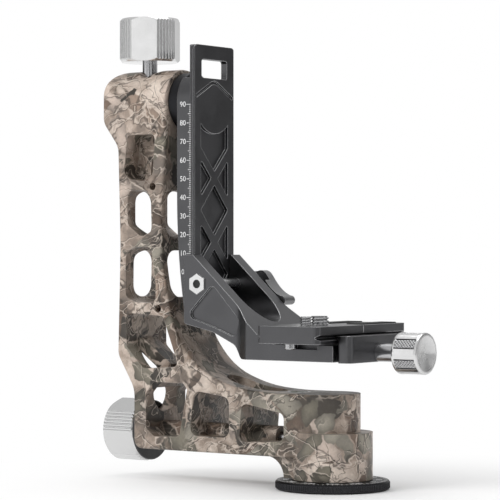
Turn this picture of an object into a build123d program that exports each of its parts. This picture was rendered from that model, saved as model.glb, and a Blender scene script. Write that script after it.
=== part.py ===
from build123d import *

import os
from math import hypot

# Gimbal tripod head, in millimetres.
# Frame: the origin is the centre of the base's underside, on the pan axis. +Z is up.
# The swing arm hangs on the frame's upright at -X, and the clamp knob points along +X.
# The camera's lens lies along Y.
# Every sub-part is one "with BuildPart()" block, and its profiles are sketches inside it.

os.makedirs("parts", exist_ok=True)

# ---------------------------------------------------------------- fits and clearances
RUN = 0.05  # radial clearance of a turning or sliding fit
SEAT = 0.02  # radial clearance of a fixed fit
GAP = 0.3  # clear distance between two bodies that pass each other
EDGE = 0.5  # small machined chamfer

# ---------------------------------------------------------------- base and index ring
RING_R = 30.0
RING_TOP = 5.0
RING_LIP = 2.0
RING_INNER_R = 18.0
BASE_R = 26.0
SOCKET_R = 3.97  # bored wall of a 3/8-16 tripod thread
SOCKET_DEPTH = 14.0
SPINDLE_R = 8.0
SPINDLE_TAIL_R = 9.0
SPINDLE_FLANGE_R = 15.5
SPINDLE_FLANGE_H = 2.6
BASE_SCREW_R = 1.5
BASE_SCREW_CIRCLE_R = 12.2
BASE_SCREW_LENGTH = 4.6

# ---------------------------------------------------------------- frame, pan housing
HOUSING_R = 21.0
HOUSING_LEDGE_Z = 30.0
BLOCK_TOP_Z = 50.0
BLOCK_END_X = 14.0
FRAME_HALF = 18.0
FRAME_BOTTOM_Z = 16.7
HOUSING_BLEND_R = 11.0
EDGE_ROUND = 1.4
BEARING_R = 14.0
BEARING_W = 6.0
LOWER_BEARING_Z = 9.4
UPPER_BEARING_Z = 31.0
SPINDLE_NUT_H = 3.6
LEVEL_X = -21.0
LEVEL_R = 6.0
LEVEL_DEPTH = 4.6

# ---------------------------------------------------------------- frame, upright
HEAD_AXIS_Z = 205.0
HEAD_OUTER_X = -139.2
ARM_INNER_X = -96.1
ARM_OUTER_X = -129.0
FOOT_OUTER_X = -117.8
NOTCH_X = -115.8
NOTCH_DEPTH = 5.4
NOTCH_HALF = 8.0
INNER_SLOT_HALF = 13.5
OUTER_SLOT_HALF = 11.0
ACCESSORY_HOLE_R = 2.1
ACCESSORY_HOLE_DEPTH = 9.0
POCKET_DEPTH = 12.0

BRACE_HALF = 6.0
TOP_SLOT_START_X = -66.0
TOP_SLOT_END_X = -29.5
TOP_SLOT_HALF = 8.0
TOP_SLOT_FLOOR_Z = 42.0
UPPER_HOLE = (-104.7, 159.1)
LOWER_HOLE = (-101.0, 93.0)
SHOE_R = 4.5
SHOE_L = 7.6

# ---------------------------------------------------------------- tilt axis
TILT_SHAFT_R = 8.0
TILT_BEARING_R = 12.5
TILT_BEARING_W = 6.0
FLANGE_R = 16.0
FLANGE_SCREW_CIRCLE_R = 12.0
FLANGE_SCREW_L = 13.0
CAP_HEAD_R = 2.75
CAP_HEAD_H = 3.0
TILT_CAP_R = 13.5
TILT_CAP_T = 2.4

# ---------------------------------------------------------------- lock knobs
KNOB_R = 17.0
KNOB_FLAT = 15.4  # from the axis to each of the four flats
KNOB_TURN = -64.3  # where the first flat faces, in degrees
KNOB_EDGE = 1.6
KNOB_FLUTES = 6
KNOB_FLUTE_PITCH = 6.4
KNOB_FLUTE_R = 0.75
TILT_KNOB_X = -120.3
TILT_KNOB_Z = 228.0
TILT_KNOB_H = 24.0
PAN_KNOB_X = -120.1
PAN_KNOB_L = 21.0
LOCK_STEM_R = 4.1
PAN_ROD_Z = 25.5
PAN_ROD_R = 3.0
PAN_TUNNEL_R = 6.0
PAN_COLLAR_R = 16.4

# ---------------------------------------------------------------- swing arm rail
RAIL_FRONT_X = -76.3
RAIL_BACK_X = -88.8
RAIL_BOTTOM_Z = 85.0
RAIL_TOP_Z = 235.0
RAIL_BODY_HALF = 17.0
RAIL_FLANGE_HALF = 18.5
RAIL_EDGE_T = 1.0
RAIL_PLATE_T = 3.9
RAIL_CHAMFER = 0.7
ROOF_PEAK_Z = 216.0
ROOF_EAVE_Z = 207.5
ROOF_HALF = 16.0
ROOF_GROOVE_W = 1.8
ROOF_GROOVE_D = 1.2
RAIL_TAPER_Z = 154.0
RAIL_FOOT_BACK_X = -82.8
WINDOW_HALF = 11.6
WINDOW_TOP_Z = 227.3
WINDOW_BOTTOM_Z = 217.3
BADGE_R = 17.5  # the bare round field about the tilt axis
RIB_PITCH = 34.6
RIB_CROSS_Z = 163.4
POCKET_HALF = 12.3
DIAMOND_HALF_H = 13.7
TRIANGLE_HALF_H = 10.0
TRIANGLE_TIP_Y = 3.0
RAIL_POCKET_D = 1.8

# ---------------------------------------------------------------- cradle
CHEEK_HALF = 21.5
CHEEK_INNER = 13.6
CRADLE_BACK_X = -80.8
CRADLE_TOP_Z = 122.1
CHEEK_TOP_X = -74.9
JAW_TOP_Z = 81.0
SLOPE_END_X = -29.5
ARM_HALF = 27.0
ARM_BOTTOM_Z = 67.5
ARM_TOP_Z = 76.0
ARM_END_X = 17.8
FLARE_START_X = -45.0
FLARE_END_X = -36.5
THROAT_BOTTOM_Z = 86.6
CHEEK_POCKET_D = 1.5
CHANNEL_HALF = 8.5
CHANNEL_DEPTH = 2.2
CHANNEL_END_Y = 20.0
BOLT_X = -71.9
BOLT_Z = 106.6
BOLT_R = 2.75
BOLT_THREAD_R = 2.3
NUT_AF = 9.6
NUT_PROUD = 0.8
NUT_T = 3.0

# ---------------------------------------------------------------- clamp lever
LEVER_HUB_R = 6.5
LEVER_HUB_T = 10.5
LEVER_WASHER_T = 1.0
NECK_START_Y = 27.8
PADDLE_START_X = -59.0
WING_INSET = 0.8
WING_ROOT_TOP = (-69.0, 112.3)
WING_ROOT_LOW = (-67.2, 105.4)
WING_TIP_TOP = (-48.6, 99.8)
WING_TIP = (-46.0, 97.3)
WING_TIP_LOW = (-48.4, 94.9)

# ---------------------------------------------------------------- quick-release clamp
JAW_T = 8.6
JAW_GAP = 1.9
JAW_BOTTOM_Z = 67.2
JAW_CORNER_R = 3.0
SCREW_Z = 72.0
SCREW_R = 3.0
STEM_R = 4.7
QR_KNOB_R = 10.75
QR_KNOB_L = 15.0
QR_KNOB_X = 42.0
QR_KNOB_BANDS = 6
QR_BAND_W = 5.4
QR_BAND_DEPTH = 0.7
QR_DISH_DEPTH = 1.2
PIN_R = 2.0
PIN_Y = 16.0
PIN_BORE_DEPTH = 22.0
PIN_SEAT_DEPTH = 6.6

# ---------------------------------------------------------------- quick-release plate
PLATE_HALF_X = 19.0
PLATE_HALF_Y = 42.5
PLATE_LIFT = 1.0  # between the arm and the plate
PLATE_T = 9.0
PLATE_BOTTOM_Z = ARM_TOP_Z + PLATE_LIFT
PLATE_TOP_Z = PLATE_BOTTOM_Z + PLATE_T
FLANGE_T = 4.2
FLANGE_EDGE_Z = PLATE_TOP_Z - FLANGE_T
FLANGE_SLOPE_H = 1.5
GROOVE_Z = FLANGE_EDGE_Z - FLANGE_SLOPE_H
GROOVE_DEPTH = 2.4
LIP_H = 1.9
LIP_TOP_Z = PLATE_BOTTOM_Z + LIP_H
PLATE_CORNER_R = 3.0
PAD_T = 1.2
PAD_BED = 0.6
PAD_HALF_X = 4.6
PAD_X = 10.6
PAD_START_Y = 4.0
PAD_MARGIN = 4.0  # from the pads to the plate's end
PAD_END_Y = PLATE_HALF_Y - PAD_MARGIN
STOP_SCREW_MARGIN = 3.2  # from the stop screws to the plate's ends
STOP_SCREW_Y = PLATE_HALF_Y - STOP_SCREW_MARGIN
STOP_HEAD_R = 2.9
STOP_HEAD_H = 2.8
STOP_SHANK_R = 1.5
STOP_SHANK_L = 4.5
QUARTER_R = 3.175
THREE_EIGHTH_R = 4.76
QUARTER_MARGIN = 17.5  # from the small camera screw to the plate's near end
STUD_SPACING = 13.0
QUARTER_Y = QUARTER_MARGIN - PLATE_HALF_Y
THREE_EIGHTH_Y = QUARTER_Y + STUD_SPACING
STUD_HEIGHT = 4.6
STUD_HEAD_R = 6.2
STUD_HEAD_H = 3.2
STUD_POCKET_DEPTH = 4.6
STUD_NECK_CUT = 0.4  # how much the neck inside the plate is thinner than the thread
STUD_NECK_PROUD = 0.2
SLOT_W = 1.6
SLOT_DEPTH = 1.2
CLIP_W = 1.4
CLIP_T = 0.6


def save(part, name):
    """Label one finished piece and write it as its own file."""
    part.label = name
    export_step(part, f"parts/{name}.step")


def annulus(outer, inner):
    """Draw a ring-shaped profile in the sketch that is open."""
    Circle(outer)
    Circle(inner, mode=Mode.SUBTRACT)


def grip_outline():
    """Draw a lock knob's outline in the sketch that is open: four flats with flutes between."""
    Circle(KNOB_R)
    Rectangle(2 * KNOB_FLAT, 2 * KNOB_FLAT, rotation=KNOB_TURN, mode=Mode.INTERSECT)
    for quarter in range(4):
        start = KNOB_TURN + 45 + 90 * quarter - KNOB_FLUTE_PITCH * (KNOB_FLUTES - 1) / 2
        with PolarLocations(KNOB_R, KNOB_FLUTES, start, KNOB_FLUTE_PITCH * KNOB_FLUTES):
            Circle(KNOB_FLUTE_R, mode=Mode.SUBTRACT)


# ================================================================ base, fixed to the tripod
base_plate_t = RING_TOP - RING_LIP
flange_top_z = base_plate_t + SPINDLE_FLANGE_H
spindle_top_z = UPPER_BEARING_Z + BEARING_W + SPINDLE_NUT_H + 0.8

with BuildPart() as base_plate:
    with BuildSketch():
        annulus(BASE_R, SPINDLE_TAIL_R + SEAT)
        with PolarLocations(BASE_SCREW_CIRCLE_R, 4, start_angle=45):
            Circle(BASE_SCREW_R + SEAT, mode=Mode.SUBTRACT)
    extrude(amount=base_plate_t)
    rim = base_plate.edges().filter_by(GeomType.CIRCLE).group_by(Axis.Z)[0].sort_by(SortBy.RADIUS)[-1]
    chamfer(rim, EDGE)
    with PolarLocations(BASE_SCREW_CIRCLE_R, 4, start_angle=45):
        with Locations((0, 0, -0.01)):
            Cone(2 * BASE_SCREW_R, BASE_SCREW_R + SEAT, BASE_SCREW_R, mode=Mode.SUBTRACT,
                 align=(Align.CENTER, Align.CENTER, Align.MIN))
save(base_plate.part, "base_plate")

with BuildPart() as index_ring:
    with BuildSketch(Plane.XZ):
        with BuildLine():
            Polyline(
                (BASE_R + SEAT, EDGE),
                (RING_R - EDGE, EDGE),
                (RING_R, 2 * EDGE),
                (RING_R, RING_TOP - EDGE),
                (RING_R - EDGE, RING_TOP),
                (RING_INNER_R, RING_TOP),
                (RING_INNER_R, base_plate_t),
                (BASE_R + SEAT, base_plate_t),
                close=True,
            )
        make_face()
    revolve(axis=Axis.Z)
save(index_ring.part, "index_ring")

with BuildPart() as pan_spindle:
    with BuildSketch(Plane.XZ):
        with BuildLine():
            Polyline(
                (0, SOCKET_DEPTH),
                (SOCKET_R, SOCKET_DEPTH),
                (SOCKET_R, 0),
                (SPINDLE_TAIL_R, 0),
                (SPINDLE_TAIL_R, base_plate_t),
                (SPINDLE_FLANGE_R, base_plate_t),
                (SPINDLE_FLANGE_R, flange_top_z),
                (SPINDLE_R + 1.5, flange_top_z),
                (SPINDLE_R + 1.5, LOWER_BEARING_Z),
                (SPINDLE_R, LOWER_BEARING_Z),
                (SPINDLE_R, spindle_top_z - EDGE),
                (SPINDLE_R - EDGE, spindle_top_z),
                (0, spindle_top_z),
                close=True,
            )
        make_face()
    revolve(axis=Axis.Z)
    with BuildSketch(Plane.XY.offset(base_plate_t)):
        with PolarLocations(BASE_SCREW_CIRCLE_R, 4, start_angle=45):
            Circle(BASE_SCREW_R + SEAT)
    extrude(amount=BASE_SCREW_LENGTH - base_plate_t, mode=Mode.SUBTRACT)
save(pan_spindle.part, "pan_spindle")

with BuildPart() as base_screws:
    with PolarLocations(BASE_SCREW_CIRCLE_R, 4, start_angle=45):
        with Locations((0, 0, GAP)):
            Cone(2 * BASE_SCREW_R - 2 * GAP, BASE_SCREW_R, BASE_SCREW_R - 2 * GAP,
                 align=(Align.CENTER, Align.CENTER, Align.MIN))
            Cylinder(BASE_SCREW_R, BASE_SCREW_LENGTH - 2 * GAP,
                     align=(Align.CENTER, Align.CENTER, Align.MIN))
save(base_screws.part, "base_screws")

with BuildPart() as spindle_nut:
    with BuildSketch(Plane.XY.offset(UPPER_BEARING_Z + BEARING_W)):
        annulus(SPINDLE_R + 3.2, SPINDLE_R + SEAT)
        with PolarLocations(SPINDLE_R + 3.2, 4):
            Rectangle(2.4, 2.4, mode=Mode.SUBTRACT)
    extrude(amount=SPINDLE_NUT_H)
save(spindle_nut.part, "spindle_nut")

# ================================================================ frame
head_top_z = HEAD_AXIS_Z + FRAME_HALF
block_centre_x = BLOCK_END_X - FRAME_HALF
# Corners of the side view, from the heel up the outside and down the inside, and their rounds.
HEEL = (FOOT_OUTER_X, 49.0)
CALF = (ARM_OUTER_X, 67.5)
SHIN = (ARM_OUTER_X + 1.6, 128.0)
NECK = (ARM_OUTER_X, 181.0)
BROW = (HEAD_OUTER_X, 194.5)
CHEST = (ARM_INNER_X, 178.0)
WAIST = (ARM_INNER_X - 3.2, 148.0)
BELLY = (ARM_INNER_X - 2.5, 118.0)
HIP = (-90.5, 80.0)
THIGH = (-74.5, 60.6)
KNEE = (-50.0, BLOCK_TOP_Z + 1.6)
ANKLE = (-28.0, BLOCK_TOP_Z)
SIDE_ROUNDS = (
    ((FOOT_OUTER_X, FRAME_BOTTOM_Z), 5.0),
    (HEEL, 14.0),
    (CALF, 9.0),
    (SHIN, 400.0),
    (NECK, 10.0),
    (BROW, 9.0),
    ((HEAD_OUTER_X, head_top_z), 9.0),
    ((NOTCH_X - NOTCH_HALF, head_top_z), 5.0),
    ((NOTCH_X, head_top_z - NOTCH_DEPTH), 4.0),
    ((NOTCH_X + NOTCH_HALF, head_top_z), 5.0),
    ((ARM_INNER_X, head_top_z), 1.5),
    (CHEST, 200.0),
    (WAIST, 200.0),
    (BELLY, 140.0),
    (HIP, 48.0),
    (THIGH, 44.0),
    (KNEE, 85.0),
    (ANKLE, 150.0),
)
tilt_inner_bearing_x = ARM_INNER_X - 1.2 - TILT_BEARING_W
tilt_outer_bearing_x = HEAD_OUTER_X + TILT_CAP_T + 5.0
tilt_relief_r = TILT_SHAFT_R + 1.0
cavity_top_z = spindle_top_z + 0.6
flange_t = RAIL_BACK_X - ARM_INNER_X - GAP
flange_back_x = RAIL_BACK_X - flange_t

with BuildPart() as frame:
    # Side view of the upright and foot: straight runs whose corners are rounded after.
    with BuildSketch(Plane.XZ) as side_view:
        with BuildLine():
            Polyline(
                (block_centre_x, FRAME_BOTTOM_Z),
                (FOOT_OUTER_X, FRAME_BOTTOM_Z),
                HEEL,
                CALF,
                SHIN,
                NECK,
                BROW,
                (HEAD_OUTER_X, head_top_z),
                (NOTCH_X - NOTCH_HALF, head_top_z),
                (NOTCH_X, head_top_z - NOTCH_DEPTH),
                (NOTCH_X + NOTCH_HALF, head_top_z),
                (ARM_INNER_X, head_top_z),
                CHEST,
                WAIST,
                BELLY,
                HIP,
                THIGH,
                KNEE,
                ANKLE,
                (block_centre_x, BLOCK_TOP_Z),
                close=True,
            )
        make_face()
        for corner, radius in SIDE_ROUNDS:
            fillet(side_view.vertices().sort_by_distance(corner)[0], radius)
    extrude(amount=FRAME_HALF, both=True)
    # Soft edges along both faces, before anything is cut.
    near_far = frame.faces().filter_by(Axis.Y).sort_by(Axis.Y)
    fillet(near_far[0].edges() + near_far[-1].edges(), EDGE_ROUND)
    # The head is round about the tilt axis, seen along X.
    with BuildSketch(Plane.YZ.offset(HEAD_OUTER_X - 1)) as end_view:
        with BuildLine():
            left = Line((-FRAME_HALF, 0), (-FRAME_HALF, HEAD_AXIS_Z))
            dome = RadiusArc(left @ 1, (FRAME_HALF, HEAD_AXIS_Z), FRAME_HALF)
            right = Line(dome @ 1, (FRAME_HALF, 0))
            Line(right @ 1, left @ 0)
        make_face()
    extrude(amount=200, mode=Mode.INTERSECT)
    # Pan housing: a round upper block on a wider drum, and the blend under the foot.
    with BuildSketch(Plane.XY.offset(HOUSING_LEDGE_Z - 1)):
        with Locations((block_centre_x, 0)):
            Circle(FRAME_HALF)
    extrude(amount=BLOCK_TOP_Z - HOUSING_LEDGE_Z + 1)
    with BuildSketch(Plane.XY.offset(RING_TOP + GAP)):
        Circle(HOUSING_R)
    extrude(amount=HOUSING_LEDGE_Z - RING_TOP - GAP)
    with BuildSketch(Plane.XZ) as blend:
        with BuildLine():
            foot = Line(
                (-HOUSING_R - HOUSING_BLEND_R, FRAME_BOTTOM_Z),
                (-HOUSING_R + 8, FRAME_BOTTOM_Z),
            )
            drop = Line(foot @ 1, (-HOUSING_R + 8, FRAME_BOTTOM_Z - HOUSING_BLEND_R))
            floor = Line(drop @ 1, (-HOUSING_R, FRAME_BOTTOM_Z - HOUSING_BLEND_R))
            RadiusArc(floor @ 1, foot @ 0, -HOUSING_BLEND_R)
        make_face()
    extrude(amount=FRAME_HALF - 3.5, both=True)

    # Windows through the side walls.
    with BuildSketch(Plane.XZ) as windows:
        with BuildLine():
            FilletPolyline((-121.9, 157.2), (-121.9, 138.5), (-112.5, 131.6), (-104.8, 135.0),
                           (-104.6, 150.0), (-108.5, 157.2), radius=4.0, close=True)
        make_face()
        with BuildLine():
            FilletPolyline((-123.0, 122.5), (-123.3, 99.0), (-116.0, 96.2), (-102.6, 95.8),
                           (-102.6, 106.0), (-105.6, 126.4), (-117.5, 126.4), radius=3.6, close=True)
        make_face()
        with BuildLine():
            FilletPolyline((-122.9, 90.2), (-122.6, 72.0), (-111.0, 60.3), (-87.0, 61.8),
                           (-97.6, 89.0), (-119.5, 90.2), radius=2.6, close=True)
        make_face()
        with BuildLine():
            FilletPolyline((-104.0, 53.2), (-109.4, 47.0), (-109.3, 28.0), (-103.5, 23.6),
                           (-86.6, 24.4), (-81.3, 50.0), (-84.0, 53.2), radius=2.4, close=True)
        make_face()
        with BuildLine():
            FilletPolyline((-77.0, 49.6), (-79.6, 25.2), (-53.6, 25.2), (-53.6, 46.6),
                           radius=4.5, close=True)
        make_face()
        with BuildLine():
            FilletPolyline((-45.6, 44.2), (-47.4, 23.2), (-18.6, 25.0), (-18.6, 39.4),
                           radius=3.6, close=True)
        make_face()
    extrude(amount=FRAME_HALF + 1, both=True, mode=Mode.SUBTRACT)

    # Slots seen along X: two through each wall of the upright, one through the outer wall below.
    with BuildSketch(Plane.YZ.offset(-112)) as inner_slots:
        with Locations((0, (157.0 + 131.6) / 2), (0, (126.4 + 97.0) / 2)):
            RectangleRounded(2 * INNER_SLOT_HALF, 25.4, 7.0)
    extrude(amount=30, mode=Mode.SUBTRACT)
    with BuildSketch(Plane.YZ.offset(-112)) as outer_slots:
        with Locations((0, (157.0 + 131.6) / 2), (0, (126.4 + 97.0) / 2)):
            RectangleRounded(2 * OUTER_SLOT_HALF, 25.4, 7.0)
    extrude(amount=-30, mode=Mode.SUBTRACT)
    with BuildSketch(Plane.YZ.offset(-107)) as heel_slot:
        with Locations((0, (73.0 + 36.0) / 2)):
            SlotOverall(73.0 - 36.0, 2 * OUTER_SLOT_HALF, rotation=90)
    extrude(amount=-30, mode=Mode.SUBTRACT)

    # A pocket in both side walls, with a web left between them and a hole through the web.
    with BuildSketch(Plane.XZ) as pocket:
        with BuildLine():
            FilletPolyline((-122.0, 187.5), (-124.3, 167.0), (-121.0, 163.4), (-111.0, 161.8),
                           (-104.6, 165.6), (-103.0, 187.3), radius=2.8, close=True)
        make_face()
    extrude(amount=FRAME_HALF + 1, both=True, mode=Mode.SUBTRACT)
    with BuildSketch(Plane.XZ):
        with Locations((-113.6, 175.0)):
            Rectangle(26, 30)
        with Locations((-110.8, 168.6)):
            SlotOverall(13.0, 8.0, rotation=90, mode=Mode.SUBTRACT)
    extrude(amount=FRAME_HALF - POCKET_DEPTH, both=True)

    # A diagonal brace across the lower window, on the middle plane.
    with BuildSketch(Plane.XZ):
        with BuildLine():
            Polyline((-125.0, 76.0), (-121.0, 76.5), (-101.0, 62.5), (-102.0, 58.0),
                     (-107.0, 58.0), (-125.0, 71.0), close=True)
        make_face()
    extrude(amount=BRACE_HALF, both=True)

    # Tunnels that carry the pan lock's rod through the foot.
    for start, end in ((FOOT_OUTER_X + 1, -78.0), (-82.0, -62.0), (-52.0, -32.0)):
        with BuildSketch(Plane.YZ.offset(start)):
            with Locations((0, PAN_ROD_Z)):
                Circle(PAN_TUNNEL_R)
            with Locations((0, (PAN_ROD_Z + FRAME_BOTTOM_Z + 1) / 2)):
                Rectangle(2 * PAN_TUNNEL_R, PAN_ROD_Z - FRAME_BOTTOM_Z - 1)
        extrude(amount=end - start)

    # A long slot down the foot's hollow back, and the pocket of the bubble level.
    with BuildSketch(Plane.XY.offset(TOP_SLOT_FLOOR_Z)):
        with Locations(((TOP_SLOT_START_X + TOP_SLOT_END_X) / 2, 0)):
            SlotOverall(TOP_SLOT_END_X - TOP_SLOT_START_X, 2 * TOP_SLOT_HALF)
    extrude(amount=40, mode=Mode.SUBTRACT)
    with BuildSketch(Plane.XY.offset(BLOCK_TOP_Z - LEVEL_DEPTH)):
        with Locations((LEVEL_X, 0)):
            Circle(LEVEL_R + SEAT)
    extrude(amount=LEVEL_DEPTH + 1, mode=Mode.SUBTRACT)

    # Bores of the pan axis: recess, retainer thread, bearing seats, waist and nut room.
    with BuildSketch(Plane.XZ) as pan_bores:
        with BuildLine():
            Polyline(
                (0, RING_TOP),
                (SPINDLE_FLANGE_R + 2 * GAP, RING_TOP),
                (SPINDLE_FLANGE_R + 2 * GAP, flange_top_z + GAP),
                (BEARING_R + SEAT, flange_top_z + GAP),
                (BEARING_R + SEAT, LOWER_BEARING_Z + BEARING_W + SEAT),
                (SPINDLE_R + 3.0, LOWER_BEARING_Z + BEARING_W + SEAT),
                (SPINDLE_R + 3.0, UPPER_BEARING_Z - SEAT),
                (BEARING_R + SEAT, UPPER_BEARING_Z - SEAT),
                (BEARING_R + SEAT, UPPER_BEARING_Z + BEARING_W),
                (SPINDLE_R + 4.2, cavity_top_z),
                (0, cavity_top_z),
                close=True,
            )
        make_face()
    revolve(axis=Axis.Z, mode=Mode.SUBTRACT)

    # Bores of the tilt axis, from the cap's recess through to the inner bearing seat.
    with BuildSketch(Plane.XZ) as tilt_bores:
        with BuildLine():
            Polyline(
                (HEAD_OUTER_X - 1, HEAD_AXIS_Z),
                (HEAD_OUTER_X - 1, HEAD_AXIS_Z + TILT_CAP_R + SEAT),
                (HEAD_OUTER_X + TILT_CAP_T, HEAD_AXIS_Z + TILT_CAP_R + SEAT),
                (HEAD_OUTER_X + TILT_CAP_T, HEAD_AXIS_Z + TILT_BEARING_R + SEAT),
                (tilt_outer_bearing_x + TILT_BEARING_W + SEAT, HEAD_AXIS_Z + TILT_BEARING_R + SEAT),
                (tilt_outer_bearing_x + TILT_BEARING_W + SEAT, HEAD_AXIS_Z + tilt_relief_r),
                (tilt_inner_bearing_x - SEAT, HEAD_AXIS_Z + tilt_relief_r),
                (tilt_inner_bearing_x - SEAT, HEAD_AXIS_Z + TILT_BEARING_R + SEAT),
                (ARM_INNER_X + 1, HEAD_AXIS_Z + TILT_BEARING_R + SEAT),
                (ARM_INNER_X + 1, HEAD_AXIS_Z),
                close=True,
            )
        make_face()
    revolve(axis=Axis((0, 0, HEAD_AXIS_Z), (1, 0, 0)), mode=Mode.SUBTRACT)

    # Holes of the two lock screws.
    with BuildSketch(Plane.XY.offset(HEAD_AXIS_Z)):
        with Locations((TILT_KNOB_X, 0)):
            Circle(LOCK_STEM_R + RUN)
    extrude(amount=FRAME_HALF + 1, mode=Mode.SUBTRACT)
    with BuildSketch(Plane.YZ.offset(FOOT_OUTER_X - 1)):
        with Locations((0, PAN_ROD_Z)):
            Circle(PAN_ROD_R + RUN)
    extrude(amount=-FOOT_OUTER_X - SPINDLE_R, mode=Mode.SUBTRACT)
    with BuildSketch(Plane.YZ.offset(-SPINDLE_R)):
        with Locations((0, PAN_ROD_Z)):
            Circle(SHOE_R + SEAT)
    extrude(amount=-SHOE_L, mode=Mode.SUBTRACT)

    # Accessory holes in the near and far faces.
    for side in (1, -1):
        with BuildSketch(Plane.XZ.offset(side * FRAME_HALF)):
            with Locations(UPPER_HOLE, LOWER_HOLE):
                Circle(ACCESSORY_HOLE_R)
        extrude(amount=-side * ACCESSORY_HOLE_DEPTH, mode=Mode.SUBTRACT)
save(frame.part, "frame")

with BuildPart() as pan_bearings:
    for level in (LOWER_BEARING_Z, UPPER_BEARING_Z):
        with BuildSketch(Plane.XY.offset(level)):
            annulus(BEARING_R, SPINDLE_R + SEAT)
        extrude(amount=BEARING_W)
save(pan_bearings.part, "pan_bearings")

with BuildPart() as bearing_retainer:
    with BuildSketch(Plane.XY.offset(flange_top_z + GAP)):
        annulus(BEARING_R, SPINDLE_R + 1.5 + GAP)
    extrude(amount=LOWER_BEARING_Z - flange_top_z - GAP)
save(bearing_retainer.part, "bearing_retainer")

with BuildPart() as pan_brake_shoe:
    with BuildSketch(Plane.YZ.offset(-SPINDLE_R - SHOE_L + GAP)):
        with Locations((0, PAN_ROD_Z)):
            Circle(SHOE_R)
    extrude(amount=SHOE_L)
    with BuildSketch(Plane.XY):
        Circle(SPINDLE_R + RUN)
    extrude(amount=BLOCK_TOP_Z, mode=Mode.SUBTRACT)
save(pan_brake_shoe.part, "pan_brake_shoe")

with BuildPart() as level_cup:
    with BuildSketch(Plane.XY.offset(BLOCK_TOP_Z - LEVEL_DEPTH)):
        with Locations((LEVEL_X, 0)):
            Circle(LEVEL_R)
    extrude(amount=LEVEL_DEPTH)
    with BuildSketch(Plane.XY.offset(BLOCK_TOP_Z - LEVEL_DEPTH + 1)):
        with Locations((LEVEL_X, 0)):
            Circle(LEVEL_R - 1)
    extrude(amount=LEVEL_DEPTH, mode=Mode.SUBTRACT)
save(level_cup.part, "level_cup")

with BuildPart() as level_vial:
    with BuildSketch(Plane.XY.offset(BLOCK_TOP_Z - LEVEL_DEPTH + 1)):
        with Locations((LEVEL_X, 0)):
            Circle(LEVEL_R - 1 - SEAT)
    extrude(amount=LEVEL_DEPTH - 1.5)
save(level_vial.part, "level_vial")

# ================================================================ tilt axis
with BuildPart() as tilt_bearings:
    for start in (tilt_outer_bearing_x, tilt_inner_bearing_x):
        with BuildSketch(Plane.YZ.offset(start)):
            with Locations((0, HEAD_AXIS_Z)):
                annulus(TILT_BEARING_R, TILT_SHAFT_R + SEAT)
        extrude(amount=TILT_BEARING_W)
save(tilt_bearings.part, "tilt_bearings")

tilt_shoe_top_z = HEAD_AXIS_Z + tilt_relief_r + 1.6
with BuildPart() as tilt_brake_shoe:
    with BuildSketch(Plane.XY.offset(HEAD_AXIS_Z + TILT_SHAFT_R / 2)):
        with Locations((TILT_KNOB_X, 0)):
            Circle(LOCK_STEM_R)
    extrude(amount=tilt_shoe_top_z - HEAD_AXIS_Z - TILT_SHAFT_R / 2)
    with BuildSketch(Plane.YZ.offset(TILT_KNOB_X - 10)):
        with Locations((0, HEAD_AXIS_Z)):
            Circle(TILT_SHAFT_R + RUN)
    extrude(amount=20, mode=Mode.SUBTRACT)
save(tilt_brake_shoe.part, "tilt_brake_shoe")

with BuildPart() as tilt_end_cap:
    with BuildSketch(Plane.YZ.offset(HEAD_OUTER_X + 0.2)):
        with Locations((0, HEAD_AXIS_Z)):
            Circle(TILT_CAP_R)
    extrude(amount=TILT_CAP_T - 0.2)
    outer_rim = tilt_end_cap.edges().filter_by(GeomType.CIRCLE).sort_by(Axis.X)[0]
    chamfer(outer_rim, EDGE)
save(tilt_end_cap.part, "tilt_end_cap")

shaft_end_x = tilt_outer_bearing_x - 3.4
with BuildPart() as tilt_shaft:
    with BuildSketch(Plane.XZ):
        with BuildLine():
            Polyline(
                (flange_back_x, HEAD_AXIS_Z),
                (flange_back_x, HEAD_AXIS_Z + TILT_SHAFT_R),
                (shaft_end_x + EDGE, HEAD_AXIS_Z + TILT_SHAFT_R),
                (shaft_end_x, HEAD_AXIS_Z + TILT_SHAFT_R - EDGE),
                (shaft_end_x, HEAD_AXIS_Z),
                close=True,
            )
        make_face()
    revolve(axis=Axis((0, 0, HEAD_AXIS_Z), (1, 0, 0)))
save(tilt_shaft.part, "tilt_shaft")

with BuildPart() as shaft_nut:
    with BuildSketch(Plane.YZ.offset(tilt_outer_bearing_x - 3.0)):
        with Locations((0, HEAD_AXIS_Z)):
            annulus(TILT_SHAFT_R + 3.2, TILT_SHAFT_R + SEAT)
            with PolarLocations(TILT_SHAFT_R + 3.2, 4):
                Rectangle(2.4, 2.4, mode=Mode.SUBTRACT)
    extrude(amount=3.0)
save(shaft_nut.part, "shaft_nut")

with BuildPart() as pivot_flange:
    with BuildSketch(Plane.YZ.offset(flange_back_x)):
        with Locations((0, HEAD_AXIS_Z)):
            Circle(FLANGE_R)
            with PolarLocations(FLANGE_SCREW_CIRCLE_R, 4, start_angle=45):
                Circle(BASE_SCREW_R + SEAT, mode=Mode.SUBTRACT)
    extrude(amount=flange_t)
    outer_rims = pivot_flange.edges().filter_by(GeomType.CIRCLE).group_by(SortBy.RADIUS)[-1]
    chamfer(outer_rims, EDGE)
    with BuildSketch(Plane.YZ.offset(flange_back_x)):
        with Locations((0, HEAD_AXIS_Z)):
            with PolarLocations(FLANGE_SCREW_CIRCLE_R, 4, start_angle=45):
                Circle(CAP_HEAD_R + SEAT)
    extrude(amount=CAP_HEAD_H + GAP, mode=Mode.SUBTRACT)
save(pivot_flange.part, "pivot_flange")

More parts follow.
